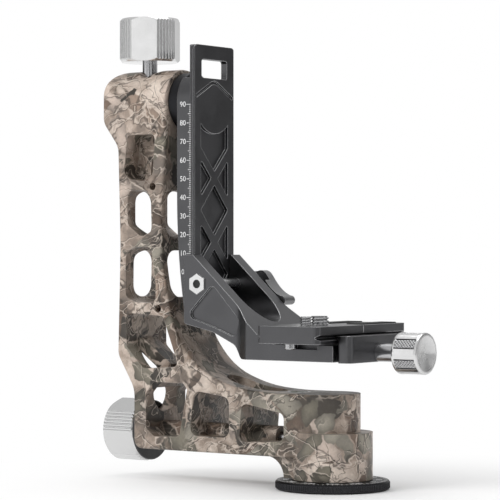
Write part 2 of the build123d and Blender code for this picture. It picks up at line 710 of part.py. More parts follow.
# ================================================================ swing arm rail
flange_edge_back_x = RAIL_FRONT_X - RAIL_CHAMFER - RAIL_EDGE_T
undercut_x = flange_edge_back_x - (RAIL_FLANGE_HALF - RAIL_BODY_HALF)
with BuildPart() as rail:
    # The dovetail section runs the whole length.
    with BuildSketch(Plane.XY.offset(RAIL_BOTTOM_Z)) as section:
        with BuildLine():
            Polyline(
                (RAIL_BACK_X, 0),
                (RAIL_BACK_X, RAIL_BODY_HALF),
                (undercut_x, RAIL_BODY_HALF),
                (flange_edge_back_x, RAIL_FLANGE_HALF),
                (RAIL_FRONT_X - RAIL_CHAMFER, RAIL_FLANGE_HALF),
                (RAIL_FRONT_X, RAIL_FLANGE_HALF - RAIL_CHAMFER),
                (RAIL_FRONT_X, 0),
            )
            mirror(about=Plane.XZ)
        make_face()
    extrude(amount=RAIL_TOP_Z - RAIL_BOTTOM_Z)
    # Above the tilt axis the body ends in a half round, and only a plate goes on.
    with BuildSketch(Plane.YZ.offset(RAIL_BACK_X - 1)):
        with Locations((0, (HEAD_AXIS_Z + RAIL_TOP_Z + 10) / 2)):
            Rectangle(2 * RAIL_FLANGE_HALF + 2, RAIL_TOP_Z + 10 - HEAD_AXIS_Z)
        with Locations((0, HEAD_AXIS_Z)):
            Circle(RAIL_BODY_HALF, mode=Mode.SUBTRACT)
    extrude(amount=RAIL_FRONT_X - RAIL_PLATE_T - RAIL_BACK_X + 1, mode=Mode.SUBTRACT)
    # The back thins towards the foot along one large arc.
    with BuildSketch(Plane.XZ):
        with BuildLine():
            taper = TangentArc(
                (RAIL_BACK_X, RAIL_TAPER_Z),
                (RAIL_FOOT_BACK_X, RAIL_BOTTOM_Z),
                tangent=(0, -1),
            )
            under = Line(taper @ 1, (RAIL_BACK_X - 5, RAIL_BOTTOM_Z - 0.01))
            out = Line(under @ 1, (RAIL_BACK_X - 5, RAIL_TAPER_Z))
            Line(out @ 1, taper @ 0)
        make_face()
    extrude(amount=RAIL_FLANGE_HALF + 1, both=True, mode=Mode.SUBTRACT)
    with BuildSketch(Plane.YZ.offset(RAIL_BACK_X - 1)):
        with Locations((0, (RAIL_BOTTOM_Z + RAIL_TOP_Z) / 2)):
            RectangleRounded(2 * RAIL_FLANGE_HALF, RAIL_TOP_Z - RAIL_BOTTOM_Z, 3.0)
    extrude(amount=RAIL_FRONT_X - RAIL_BACK_X + 2, mode=Mode.INTERSECT)
    # Grip window, right through, which also cuts the half round off flat.
    with BuildSketch(Plane.YZ.offset(RAIL_FRONT_X)):
        with Locations((0, (WINDOW_BOTTOM_Z + WINDOW_TOP_Z) / 2)):
            RectangleRounded(2 * WINDOW_HALF, WINDOW_TOP_Z - WINDOW_BOTTOM_Z, 1.5)
    extrude(amount=RAIL_BACK_X - RAIL_FRONT_X - 1, mode=Mode.SUBTRACT)
    # Lattice of shallow pockets, which leaves crossed ribs standing.
    with BuildSketch(Plane.YZ.offset(RAIL_FRONT_X)) as lattice:
        for level in (RIB_CROSS_Z, RIB_CROSS_Z - RIB_PITCH):
            for side in (1, -1):
                with BuildLine():
                    FilletPolyline((side * POCKET_HALF, level + TRIANGLE_HALF_H),
                                   (side * POCKET_HALF, level - TRIANGLE_HALF_H),
                                   (side * TRIANGLE_TIP_Y, level), radius=0.8, close=True)
                make_face()
            with BuildLine():
                FilletPolyline((0, level - RIB_PITCH / 2 + DIAMOND_HALF_H),
                               (POCKET_HALF, level - RIB_PITCH / 2),
                               (0, level - RIB_PITCH / 2 - DIAMOND_HALF_H),
                               (-POCKET_HALF, level - RIB_PITCH / 2), radius=0.8, close=True)
            make_face()
        with BuildLine():
            FilletPolyline((0, RIB_CROSS_Z + 3.6), (POCKET_HALF, RIB_CROSS_Z + 16.5),
                           (POCKET_HALF, HEAD_AXIS_Z - 8), (-POCKET_HALF, HEAD_AXIS_Z - 8),
                           (-POCKET_HALF, RIB_CROSS_Z + 16.5), radius=0.8, close=True)
        make_face()
        with Locations((0, HEAD_AXIS_Z)):
            Circle(BADGE_R, mode=Mode.SUBTRACT)
    extrude(amount=-RAIL_POCKET_D, mode=Mode.SUBTRACT)
    # Roof-shaped groove above the bare round field.
    with BuildSketch(Plane.YZ.offset(RAIL_FRONT_X)):
        with BuildLine() as roof:
            FilletPolyline((-ROOF_HALF, ROOF_EAVE_Z), (0, ROOF_PEAK_Z), (ROOF_HALF, ROOF_EAVE_Z), radius=7.0)
            offset(amount=ROOF_GROOVE_W / 2, side=Side.BOTH)
        make_face()
    extrude(amount=-ROOF_GROOVE_D, mode=Mode.SUBTRACT)
    # Flange screw holes in the boss.
    with BuildSketch(Plane.YZ.offset(RAIL_BACK_X - 1)):
        with Locations((0, HEAD_AXIS_Z)):
            with PolarLocations(FLANGE_SCREW_CIRCLE_R, 4, start_angle=45):
                Circle(BASE_SCREW_R + SEAT)
    extrude(amount=FLANGE_SCREW_L - flange_t + CAP_HEAD_H + 1 + GAP, mode=Mode.SUBTRACT)
save(rail.part, "rail")

with BuildPart() as flange_screws:
    with BuildSketch(Plane.YZ.offset(flange_back_x + GAP)):
        with Locations((0, HEAD_AXIS_Z)):
            with PolarLocations(FLANGE_SCREW_CIRCLE_R, 4, start_angle=45):
                Circle(CAP_HEAD_R)
    extrude(amount=CAP_HEAD_H)
    with BuildSketch(Plane.YZ.offset(flange_back_x + GAP)):
        with Locations((0, HEAD_AXIS_Z)):
            with PolarLocations(FLANGE_SCREW_CIRCLE_R, 4, start_angle=45):
                Circle(BASE_SCREW_R)
    extrude(amount=FLANGE_SCREW_L)
save(flange_screws.part, "flange_screws")

# ================================================================ cradle
jaw_inner_x = ARM_END_X + JAW_GAP
jaw_outer_x = jaw_inner_x + JAW_T
# The jaws' noses follow the plate's groove, moved out so that each flank stays clear of it.
flank_rise = FLANGE_EDGE_Z - GROOVE_Z
flank_run = GROOVE_DEPTH / flank_rise
nose_tip_x = PLATE_HALF_X - GROOVE_DEPTH + GAP * hypot(flank_rise, GROOVE_DEPTH) / flank_rise
nose_top_x = nose_tip_x + (JAW_TOP_Z - GROOVE_Z) * flank_run
nose_low_z = GROOVE_Z - (jaw_inner_x - nose_tip_x) * (GROOVE_Z - LIP_TOP_Z) / GROOVE_DEPTH
nut_inner_y = CHEEK_HALF - NUT_T + NUT_PROUD
# Corners under the cradle and their rounds.
ARM_KNEE = (-42.6, ARM_BOTTOM_Z)
ARM_SHIN = (-47.2, 74.6)
ARM_CALF = (-62.0, 81.4)
CRADLE_HEEL = (CRADLE_BACK_X, 85.4)
CRADLE_ROUNDS = ((ARM_KNEE, 4.0), (ARM_SHIN, 7.0), (ARM_CALF, 20.0), (CRADLE_HEEL, 2.0))
with BuildPart() as cradle:
    with BuildSketch(Plane.XZ) as cradle_side:
        with BuildLine():
            Polyline(
                (CRADLE_BACK_X, CRADLE_TOP_Z),
                (CHEEK_TOP_X, CRADLE_TOP_Z),
                (SLOPE_END_X, JAW_TOP_Z),
                (-nose_top_x, JAW_TOP_Z),
                (-nose_tip_x, GROOVE_Z),
                (-jaw_inner_x, nose_low_z),
                (-jaw_inner_x, ARM_TOP_Z),
                (ARM_END_X, ARM_TOP_Z),
                (ARM_END_X, ARM_BOTTOM_Z),
                ARM_KNEE,
                ARM_SHIN,
                ARM_CALF,
                CRADLE_HEEL,
                close=True,
            )
        make_face()
        for corner, radius in CRADLE_ROUNDS:
            fillet(cradle_side.vertices().sort_by_distance(corner)[0], radius)
    extrude(amount=ARM_HALF, both=True)
    # Seen from above, the cheeks flare out into the clamp's wider arm.
    with BuildSketch(Plane.XY.offset(ARM_BOTTOM_Z - 1)) as cradle_top:
        with BuildLine():
            Polyline(
                (CRADLE_BACK_X, 0),
                (CRADLE_BACK_X, CHEEK_HALF),
                (FLARE_START_X, CHEEK_HALF),
                (FLARE_END_X, ARM_HALF),
                (ARM_END_X, ARM_HALF),
                (ARM_END_X, 0),
            )
            mirror(about=Plane.XZ)
        make_face()
        for side in (1, -1):
            fillet(cradle_top.vertices().sort_by_distance((FLARE_START_X, side * CHEEK_HALF))[0], 10.0)
            fillet(cradle_top.vertices().sort_by_distance((FLARE_END_X, side * ARM_HALF))[0], 3.0)
    extrude(amount=CRADLE_TOP_Z, mode=Mode.INTERSECT)
    # Throat between the cheeks: straight sides and a round floor.
    with BuildSketch(Plane.YZ.offset(RAIL_FRONT_X)):
        with BuildLine():
            near = Line((-CHEEK_INNER, CRADLE_TOP_Z + 5), (-CHEEK_INNER, THROAT_BOTTOM_Z + CHEEK_INNER))
            scoop = RadiusArc(near @ 1, (CHEEK_INNER, THROAT_BOTTOM_Z + CHEEK_INNER), -CHEEK_INNER)
            far = Line(scoop @ 1, (CHEEK_INNER, CRADLE_TOP_Z + 5))
            Line(far @ 1, near @ 0)
        make_face()
    extrude(amount=60, mode=Mode.SUBTRACT)
    # Dovetail channel down the back, which rides on the rail.
    with BuildSketch(Plane.XY.offset(ARM_BOTTOM_Z)) as channel:
        with BuildLine():
            Polyline(
                (CRADLE_BACK_X - 1, 0),
                (CRADLE_BACK_X - 1, RAIL_BODY_HALF + GAP),
                (undercut_x - GAP / 2, RAIL_BODY_HALF + GAP),
                (flange_edge_back_x - GAP / 2, RAIL_FLANGE_HALF + GAP),
                (RAIL_FRONT_X + GAP, RAIL_FLANGE_HALF + GAP),
                (RAIL_FRONT_X + GAP, 0),
            )
            mirror(about=Plane.XZ)
        make_face()
    extrude(amount=CRADLE_TOP_Z, mode=Mode.SUBTRACT)
    # Rounded triangular pocket in each cheek.
    for side in (1, -1):
        with BuildSketch(Plane.XZ.offset(side * (CHEEK_HALF - CHEEK_POCKET_D))):
            with BuildLine():
                FilletPolyline((-62.1, 106.6), (-79.3, 89.3), (-60.6, 83.6), (-47.0, 78.4), (-43.9, 87.2),
                               radius=(3.0, 3.0, 12.0, 3.0, 3.0), close=True)
            make_face()
        extrude(amount=side * ARM_HALF, mode=Mode.SUBTRACT)
    # Clamp bolt hole, and the nut's pocket in the near cheek.
    with BuildSketch(Plane.XZ):
        with Locations((BOLT_X, BOLT_Z)):
            Circle(BOLT_R + RUN)
    extrude(amount=ARM_HALF, both=True, mode=Mode.SUBTRACT)
    with BuildSketch(Plane.XZ.offset(nut_inner_y)):
        with Locations((BOLT_X, BOLT_Z)):
            RegularPolygon(NUT_AF / 2 + RUN, 6, major_radius=False, rotation=30)
    extrude(amount=NUT_T, mode=Mode.SUBTRACT)
    # Channels under the plate for its stop screws, one from each side of the arm.
    for side in (1, -1):
        with BuildSketch(Plane.XY.offset(ARM_TOP_Z - CHANNEL_DEPTH)):
            with Locations((0, side * (CHANNEL_END_Y + ARM_HALF + 1) / 2)):
                Rectangle(2 * CHANNEL_HALF, ARM_HALF + 1 - CHANNEL_END_Y)
        extrude(amount=CHANNEL_DEPTH + 0.5, mode=Mode.SUBTRACT)
    # Bores for the clamp screw and the guide pins, from the arm's end.
    with BuildSketch(Plane.YZ.offset(ARM_END_X)):
        with Locations((0, SCREW_Z)):
            Circle(SCREW_R + RUN)
        with Locations((PIN_Y, SCREW_Z), (-PIN_Y, SCREW_Z)):
            Circle(PIN_R + RUN)
    extrude(amount=-PIN_BORE_DEPTH, mode=Mode.SUBTRACT)
save(cradle.part, "cradle")

# The lever stands past the washer, and the bolt ends inside its hub.
lever_start_y = CHEEK_HALF + LEVER_WASHER_T + RUN
lever_end_y = lever_start_y + LEVER_HUB_T
bolt_end_y = lever_end_y - 2.0
with BuildPart() as clamp_bolt:
    with BuildSketch(Plane.XZ.offset(nut_inner_y)):
        with Locations((BOLT_X, BOLT_Z)):
            Circle(BOLT_R)
    extrude(amount=-nut_inner_y - bolt_end_y)
    with BuildSketch(Plane.XZ.offset(nut_inner_y)):
        with Locations((BOLT_X, BOLT_Z)):
            Circle(BOLT_THREAD_R)
    extrude(amount=NUT_T / 2)
save(clamp_bolt.part, "clamp_bolt")

with BuildPart() as hex_nut:
    with BuildSketch(Plane.XZ.offset(nut_inner_y)):
        with Locations((BOLT_X, BOLT_Z)):
            RegularPolygon(NUT_AF / 2, 6, major_radius=False, rotation=30)
            Circle(BOLT_THREAD_R + SEAT, mode=Mode.SUBTRACT)
    extrude(amount=NUT_T)
save(hex_nut.part, "hex_nut")

with BuildPart() as lever_washer:
    with BuildSketch(Plane.XZ.offset(-CHEEK_HALF)):
        with Locations((BOLT_X, BOLT_Z)):
            annulus(LEVER_HUB_R + 1, BOLT_R + RUN)
    extrude(amount=-LEVER_WASHER_T)
save(lever_washer.part, "lever_washer")

# ================================================================ clamp lever
with BuildPart() as clamp_lever:
    with BuildSketch(Plane.XZ.offset(-lever_start_y)):
        with Locations((BOLT_X, BOLT_Z)):
            Circle(LEVER_HUB_R)
    extrude(amount=-LEVER_HUB_T)
    # The wing swings out from the hub in one S and ends in a round tip.
    with BuildSketch(Plane.XZ.offset(-NECK_START_Y)) as wing:
        with BuildLine():
            upper = Spline(WING_ROOT_TOP, (-62.4, 112.6), (-59.0, 108.4), (-54.0, 102.9), WING_TIP_TOP)
            tip = ThreePointArc(upper @ 1, WING_TIP, WING_TIP_LOW)
            lower = Spline(WING_TIP_LOW, (-53.5, 95.6), (-59.0, 100.6), (-63.6, 106.0), WING_ROOT_LOW)
            Line(lower @ 1, upper @ 0)
        make_face()
    extrude(amount=NECK_START_Y - lever_end_y)
    # Its paddle is wider than its neck, towards the cheek.
    with BuildSketch(Plane.XZ.offset(-NECK_START_Y)):
        add(wing.sketch.face())
        with Locations((PADDLE_START_X, BOLT_Z)):
            Rectangle(40, 40, align=(Align.MAX, Align.CENTER), mode=Mode.SUBTRACT)
    extrude(amount=NECK_START_Y - lever_start_y - WING_INSET)
    with BuildSketch(Plane.XZ.offset(-lever_start_y)):
        with Locations((BOLT_X, BOLT_Z)):
            Circle(BOLT_R + RUN)
    extrude(amount=lever_start_y - bolt_end_y - GAP, mode=Mode.SUBTRACT)
save(clamp_lever.part, "clamp_lever")

# ================================================================ quick-release clamp
with BuildPart() as moving_jaw:
    with BuildSketch(Plane.XY.offset(JAW_BOTTOM_Z)):
        with Locations(((jaw_inner_x + jaw_outer_x) / 2, 0)):
            RectangleRounded(JAW_T, 2 * ARM_HALF, JAW_CORNER_R)
    extrude(amount=JAW_TOP_Z - JAW_BOTTOM_Z)
    with BuildSketch(Plane.XZ):
        with BuildLine():
            Polyline(
                (jaw_inner_x + EDGE, JAW_TOP_Z),
                (nose_top_x, JAW_TOP_Z),
                (nose_tip_x, GROOVE_Z),
                (jaw_inner_x, nose_low_z),
                (jaw_inner_x + EDGE, nose_low_z),
                close=True,
            )
        make_face()
    extrude(amount=ARM_HALF - JAW_CORNER_R, both=True)
    with BuildSketch(Plane.YZ.offset(jaw_inner_x)):
        with Locations((0, SCREW_Z)):
            Circle(SCREW_R + RUN)
    extrude(amount=JAW_T, mode=Mode.SUBTRACT)
    with BuildSketch(Plane.YZ.offset(jaw_inner_x)):
        with Locations((PIN_Y, SCREW_Z), (-PIN_Y, SCREW_Z)):
            Circle(PIN_R + SEAT)
    extrude(amount=PIN_SEAT_DEPTH, mode=Mode.SUBTRACT)
save(moving_jaw.part, "moving_jaw")

bore_end_x = ARM_END_X - PIN_BORE_DEPTH
with BuildPart() as guide_pins:
    with BuildSketch(Plane.YZ.offset(bore_end_x + EDGE)):
        with Locations((PIN_Y, SCREW_Z), (-PIN_Y, SCREW_Z)):
            Circle(PIN_R)
    extrude(amount=jaw_inner_x + PIN_SEAT_DEPTH - bore_end_x - EDGE)
save(guide_pins.part, "guide_pins")

screw_end_x = QR_KNOB_X + QR_KNOB_L / 2
with BuildPart() as qr_screw:
    with BuildSketch(Plane.XZ):
        with BuildLine():
            Polyline(
                (bore_end_x + EDGE, SCREW_Z),
                (bore_end_x + EDGE, SCREW_Z + SCREW_R),
                (jaw_outer_x + RUN, SCREW_Z + SCREW_R),
                (jaw_outer_x + RUN, SCREW_Z + STEM_R),
                (QR_KNOB_X, SCREW_Z + STEM_R),
                (QR_KNOB_X, SCREW_Z + SCREW_R),
                (screw_end_x, SCREW_Z + SCREW_R),
                (screw_end_x, SCREW_Z),
                close=True,
            )
        make_face()
    revolve(axis=Axis((0, 0, SCREW_Z), (1, 0, 0)))
save(qr_screw.part, "qr_screw")

knob_face_x = QR_KNOB_X + QR_KNOB_L
with BuildPart() as qr_knob:
    with BuildSketch(Plane.XZ):
        with BuildLine():
            Polyline(
                (QR_KNOB_X, SCREW_Z + SCREW_R + SEAT),
                (QR_KNOB_X, SCREW_Z + QR_KNOB_R - EDGE),
                (QR_KNOB_X + EDGE, SCREW_Z + QR_KNOB_R),
                (knob_face_x - EDGE, SCREW_Z + QR_KNOB_R),
                (knob_face_x, SCREW_Z + QR_KNOB_R - EDGE),
                (knob_face_x, SCREW_Z + QR_KNOB_R - 4 * EDGE),
                (knob_face_x - QR_DISH_DEPTH, SCREW_Z),
                (screw_end_x, SCREW_Z),
                (screw_end_x, SCREW_Z + SCREW_R + SEAT),
                close=True,
            )
        make_face()
    revolve(axis=Axis((0, 0, SCREW_Z), (1, 0, 0)))
    # Sunk grip bands between the smooth lands.
    with BuildSketch(Plane.YZ.offset(QR_KNOB_X + 3 * EDGE)):
        with Locations((0, SCREW_Z)):
            with PolarLocations(QR_KNOB_R, QR_KNOB_BANDS, start_angle=30):
                Rectangle(2 * QR_BAND_DEPTH, QR_BAND_W)
    extrude(amount=QR_KNOB_L - 6 * EDGE, mode=Mode.SUBTRACT)
save(qr_knob.part, "qr_knob")

# ================================================================ quick-release plate
with BuildPart() as qr_plate:
    with BuildSketch(Plane.XZ):
        with BuildLine():
            Polyline(
                (0, PLATE_TOP_Z),
                (PLATE_HALF_X, PLATE_TOP_Z),
                (PLATE_HALF_X, FLANGE_EDGE_Z),
                (PLATE_HALF_X - GROOVE_DEPTH, GROOVE_Z),
                (PLATE_HALF_X, LIP_TOP_Z),
                (PLATE_HALF_X, PLATE_BOTTOM_Z),
                (0, PLATE_BOTTOM_Z),
            )
            mirror(about=Plane.YZ)
        make_face()
    extrude(amount=PLATE_HALF_Y, both=True)
    with BuildSketch(Plane.XY.offset(PLATE_BOTTOM_Z)):
        RectangleRounded(2 * PLATE_HALF_X, 2 * PLATE_HALF_Y, PLATE_CORNER_R)
    extrude(amount=PLATE_TOP_Z - PLATE_BOTTOM_Z, mode=Mode.INTERSECT)
    # Beds of the two rubber strips.
    with BuildSketch(Plane.XY.offset(PLATE_TOP_Z)):
        with Locations((PAD_X, (PAD_START_Y + PAD_END_Y) / 2), (-PAD_X, (PAD_START_Y + PAD_END_Y) / 2)):
            RectangleRounded(2 * PAD_HALF_X, PAD_END_Y - PAD_START_Y, 1.5)
    extrude(amount=-PAD_BED, mode=Mode.SUBTRACT)
    # Stepped bores of the two camera screws, with one pocket below for both heads.
    with BuildSketch(Plane.XY.offset(PLATE_BOTTOM_Z)):
        with Locations((0, (QUARTER_Y + THREE_EIGHTH_Y) / 2)):
            SlotCenterToCenter(THREE_EIGHTH_Y - QUARTER_Y, 2 * STUD_HEAD_R + 2 * GAP, rotation=90)
    extrude(amount=STUD_POCKET_DEPTH, mode=Mode.SUBTRACT)
    for stud_y, stud_r in ((QUARTER_Y, QUARTER_R), (THREE_EIGHTH_Y, THREE_EIGHTH_R)):
        with BuildSketch(Plane.XY.offset(PLATE_BOTTOM_Z)):
            with Locations((0, stud_y)):
                Circle(stud_r + RUN)
        extrude(amount=PLATE_TOP_Z - PLATE_BOTTOM_Z, mode=Mode.SUBTRACT)
        with BuildSketch(Plane.XY.offset(PLATE_TOP_Z)):
            with Locations((0, stud_y)):
                Circle(stud_r + CLIP_W + RUN)
        extrude(amount=-CLIP_T - RUN, mode=Mode.SUBTRACT)
    # Blind holes of the stop screws.
    with BuildSketch(Plane.XY.offset(PLATE_BOTTOM_Z)):
        with Locations((0, STOP_SCREW_Y), (0, -STOP_SCREW_Y)):
            Circle(STOP_SHANK_R + SEAT)
    extrude(amount=STOP_SHANK_L + GAP, mode=Mode.SUBTRACT)
save(qr_plate.part, "qr_plate")

with BuildPart() as plate_pads:
    with BuildSketch(Plane.XY.offset(PLATE_TOP_Z - PAD_BED)):
        with Locations((PAD_X, (PAD_START_Y + PAD_END_Y) / 2), (-PAD_X, (PAD_START_Y + PAD_END_Y) / 2)):
            RectangleRounded(2 * PAD_HALF_X - 2 * SEAT, PAD_END_Y - PAD_START_Y - 2 * SEAT, 1.5)
    extrude(amount=PAD_T)
save(plate_pads.part, "plate_pads")

with BuildPart() as stop_screws:
    with BuildSketch(Plane.XY.offset(PLATE_BOTTOM_Z)):
        with Locations((0, STOP_SCREW_Y), (0, -STOP_SCREW_Y)):
            Circle(STOP_HEAD_R)
    extrude(amount=-STOP_HEAD_H)
    low_rims = stop_screws.edges().filter_by(GeomType.CIRCLE).group_by(Axis.Z)[0]
    chamfer(low_rims, EDGE)
    with BuildSketch(Plane.XY.offset(PLATE_BOTTOM_Z)):
        with Locations((0, STOP_SCREW_Y), (0, -STOP_SCREW_Y)):
            Circle(STOP_SHANK_R)
    extrude(amount=STOP_SHANK_L)
save(stop_screws.part, "stop_screws")

stud_seat_z = PLATE_BOTTOM_Z + STUD_POCKET_DEPTH - RUN
stud_thread_z = PLATE_TOP_Z + STUD_NECK_PROUD
with BuildPart() as camera_screw_quarter:
    with Locations((0, QUARTER_Y, stud_seat_z)):
        Cylinder(STUD_HEAD_R, STUD_HEAD_H, align=(Align.CENTER, Align.CENTER, Align.MAX))
        Cylinder(QUARTER_R - STUD_NECK_CUT, stud_thread_z - stud_seat_z,
                 align=(Align.CENTER, Align.CENTER, Align.MIN))
    with Locations((0, QUARTER_Y, stud_thread_z)):
        Cylinder(QUARTER_R, PLATE_TOP_Z + STUD_HEIGHT - stud_thread_z,
                 align=(Align.CENTER, Align.CENTER, Align.MIN))
    tip_rim = camera_screw_quarter.edges().filter_by(GeomType.CIRCLE).sort_by(Axis.Z)[-1]
    chamfer(tip_rim, EDGE)
    with Locations((0, QUARTER_Y, stud_seat_z - STUD_HEAD_H)):
        Box(2 * STUD_HEAD_R, SLOT_W, SLOT_DEPTH, mode=Mode.SUBTRACT,
            align=(Align.CENTER, Align.CENTER, Align.MIN))
save(camera_screw_quarter.part, "camera_screw_quarter")

with BuildPart() as camera_screw_three_eighth:
    with Locations((0, THREE_EIGHTH_Y, stud_seat_z)):
        Cylinder(STUD_HEAD_R, STUD_HEAD_H, align=(Align.CENTER, Align.CENTER, Align.MAX))
        Cylinder(THREE_EIGHTH_R - STUD_NECK_CUT, stud_thread_z - stud_seat_z,
                 align=(Align.CENTER, Align.CENTER, Align.MIN))
    with Locations((0, THREE_EIGHTH_Y, stud_thread_z)):
        Cylinder(THREE_EIGHTH_R, PLATE_TOP_Z + STUD_HEIGHT - stud_thread_z,
                 align=(Align.CENTER, Align.CENTER, Align.MIN))
    tip_rim = camera_screw_three_eighth.edges().filter_by(GeomType.CIRCLE).sort_by(Axis.Z)[-1]
    chamfer(tip_rim, EDGE)
    with Locations((0, THREE_EIGHTH_Y, stud_seat_z - STUD_HEAD_H)):
        Box(2 * STUD_HEAD_R, SLOT_W, SLOT_DEPTH, mode=Mode.SUBTRACT,
            align=(Align.CENTER, Align.CENTER, Align.MIN))
save(camera_screw_three_eighth.part, "camera_screw_three_eighth")

with BuildPart() as stud_clips:
    for stud_y, stud_r in ((QUARTER_Y, QUARTER_R), (THREE_EIGHTH_Y, THREE_EIGHTH_R)):
        with BuildSketch(Plane.XY.offset(PLATE_TOP_Z - CLIP_T)):
            with Locations((0, stud_y)):
                annulus(stud_r + CLIP_W, stud_r - STUD_NECK_CUT + RUN)
                with Locations((0, -stud_r)):
                    Rectangle(stud_r, 2 * CLIP_W + stud_r, mode=Mode.SUBTRACT)
        extrude(amount=CLIP_T)
save(stud_clips.part, "stud_clips")

# ================================================================ lock knobs and their screws
with BuildPart() as tilt_lock_knob:
    with Locations((TILT_KNOB_X, 0, TILT_KNOB_Z)):
        Cylinder(KNOB_R, TILT_KNOB_H, align=(Align.CENTER, Align.CENTER, Align.MIN))
    chamfer(tilt_lock_knob.edges().filter_by(GeomType.CIRCLE), KNOB_EDGE)
    with BuildSketch(Plane.XY.offset(TILT_KNOB_Z)):
        with Locations((TILT_KNOB_X, 0)):
            grip_outline()
    extrude(amount=TILT_KNOB_H, mode=Mode.INTERSECT)
    with BuildSketch(Plane.XY.offset(TILT_KNOB_Z)):
        with Locations((TILT_KNOB_X, 0)):
            Circle(LOCK_STEM_R + SEAT)
    extrude(amount=TILT_KNOB_H / 2, mode=Mode.SUBTRACT)
save(tilt_lock_knob.part, "tilt_lock_knob")

with BuildPart() as tilt_lock_screw:
    with BuildSketch(Plane.XY.offset(tilt_shoe_top_z + GAP)):
        with Locations((TILT_KNOB_X, 0)):
            Circle(LOCK_STEM_R)
    extrude(amount=TILT_KNOB_Z + TILT_KNOB_H / 2 - tilt_shoe_top_z - GAP)
save(tilt_lock_screw.part, "tilt_lock_screw")

with BuildPart() as pan_lock_knob:
    with Locations(Plane((PAN_KNOB_X, 0, PAN_ROD_Z), z_dir=(-1, 0, 0))):
        Cylinder(KNOB_R, PAN_KNOB_L, align=(Align.CENTER, Align.CENTER, Align.MIN))
    chamfer(pan_lock_knob.edges().filter_by(GeomType.CIRCLE), KNOB_EDGE)
    with BuildSketch(Plane.YZ.offset(PAN_KNOB_X)):
        with Locations((0, PAN_ROD_Z)):
            grip_outline()
    extrude(amount=-PAN_KNOB_L, mode=Mode.INTERSECT)
    with BuildSketch(Plane.YZ.offset(PAN_KNOB_X)):
        with Locations((0, PAN_ROD_Z)):
            Circle(PAN_ROD_R + SEAT)
    extrude(amount=-PAN_KNOB_L / 2, mode=Mode.SUBTRACT)
save(pan_lock_knob.part, "pan_lock_knob")

collar_face_x = FOOT_OUTER_X - GAP
with BuildPart() as pan_collar:
    with BuildSketch(Plane.YZ.offset(collar_face_x)):
        with Locations((0, PAN_ROD_Z)):
            annulus(PAN_COLLAR_R, PAN_ROD_R + SEAT)
    extrude(amount=PAN_KNOB_X - collar_face_x)
    collar_rims = pan_collar.edges().filter_by(GeomType.CIRCLE).group_by(SortBy.RADIUS)[-1]
    chamfer(collar_rims, EDGE)
save(pan_collar.part, "pan_collar")

with BuildPart() as pan_lock_rod:
    with BuildSketch(Plane.YZ.offset(-SPINDLE_R - SHOE_L)):
        with Locations((0, PAN_ROD_Z)):
            Circle(PAN_ROD_R)
    extrude(amount=PAN_KNOB_X - PAN_KNOB_L / 2 + SPINDLE_R + SHOE_L)
save(pan_lock_rod.part, "pan_lock_rod")
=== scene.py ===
"""Gimbal tripod head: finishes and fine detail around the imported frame.

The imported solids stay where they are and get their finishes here. Printed scales, knurls, threads,
ribs and the bubble level are pieces of their own. Everything is in metres, in the frame's axes.
"""

import logging
import math
from dataclasses import dataclass
from enum import Enum

import bmesh
import bpy
from mathutils import Matrix, Vector


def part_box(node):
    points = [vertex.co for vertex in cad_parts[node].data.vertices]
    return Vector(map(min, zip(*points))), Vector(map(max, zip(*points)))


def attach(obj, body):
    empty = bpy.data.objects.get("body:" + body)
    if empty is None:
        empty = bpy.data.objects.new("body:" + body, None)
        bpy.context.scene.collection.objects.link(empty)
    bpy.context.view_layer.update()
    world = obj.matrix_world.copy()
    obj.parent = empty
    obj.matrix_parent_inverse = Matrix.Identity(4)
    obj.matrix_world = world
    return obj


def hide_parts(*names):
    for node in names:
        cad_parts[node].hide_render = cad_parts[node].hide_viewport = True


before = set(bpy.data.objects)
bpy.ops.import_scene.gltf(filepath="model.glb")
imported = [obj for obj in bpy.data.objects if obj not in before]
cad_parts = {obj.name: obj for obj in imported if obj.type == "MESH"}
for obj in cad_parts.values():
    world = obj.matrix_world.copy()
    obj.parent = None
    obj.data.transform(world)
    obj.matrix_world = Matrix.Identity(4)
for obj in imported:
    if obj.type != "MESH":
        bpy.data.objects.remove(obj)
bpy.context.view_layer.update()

MM = 0.001
TURN = 2 * math.pi
IMAGE_SIDE = 500
LOG = logging.getLogger("gimbal_head")

Colour = tuple[float, float, float]
Point = tuple[float, float, float]


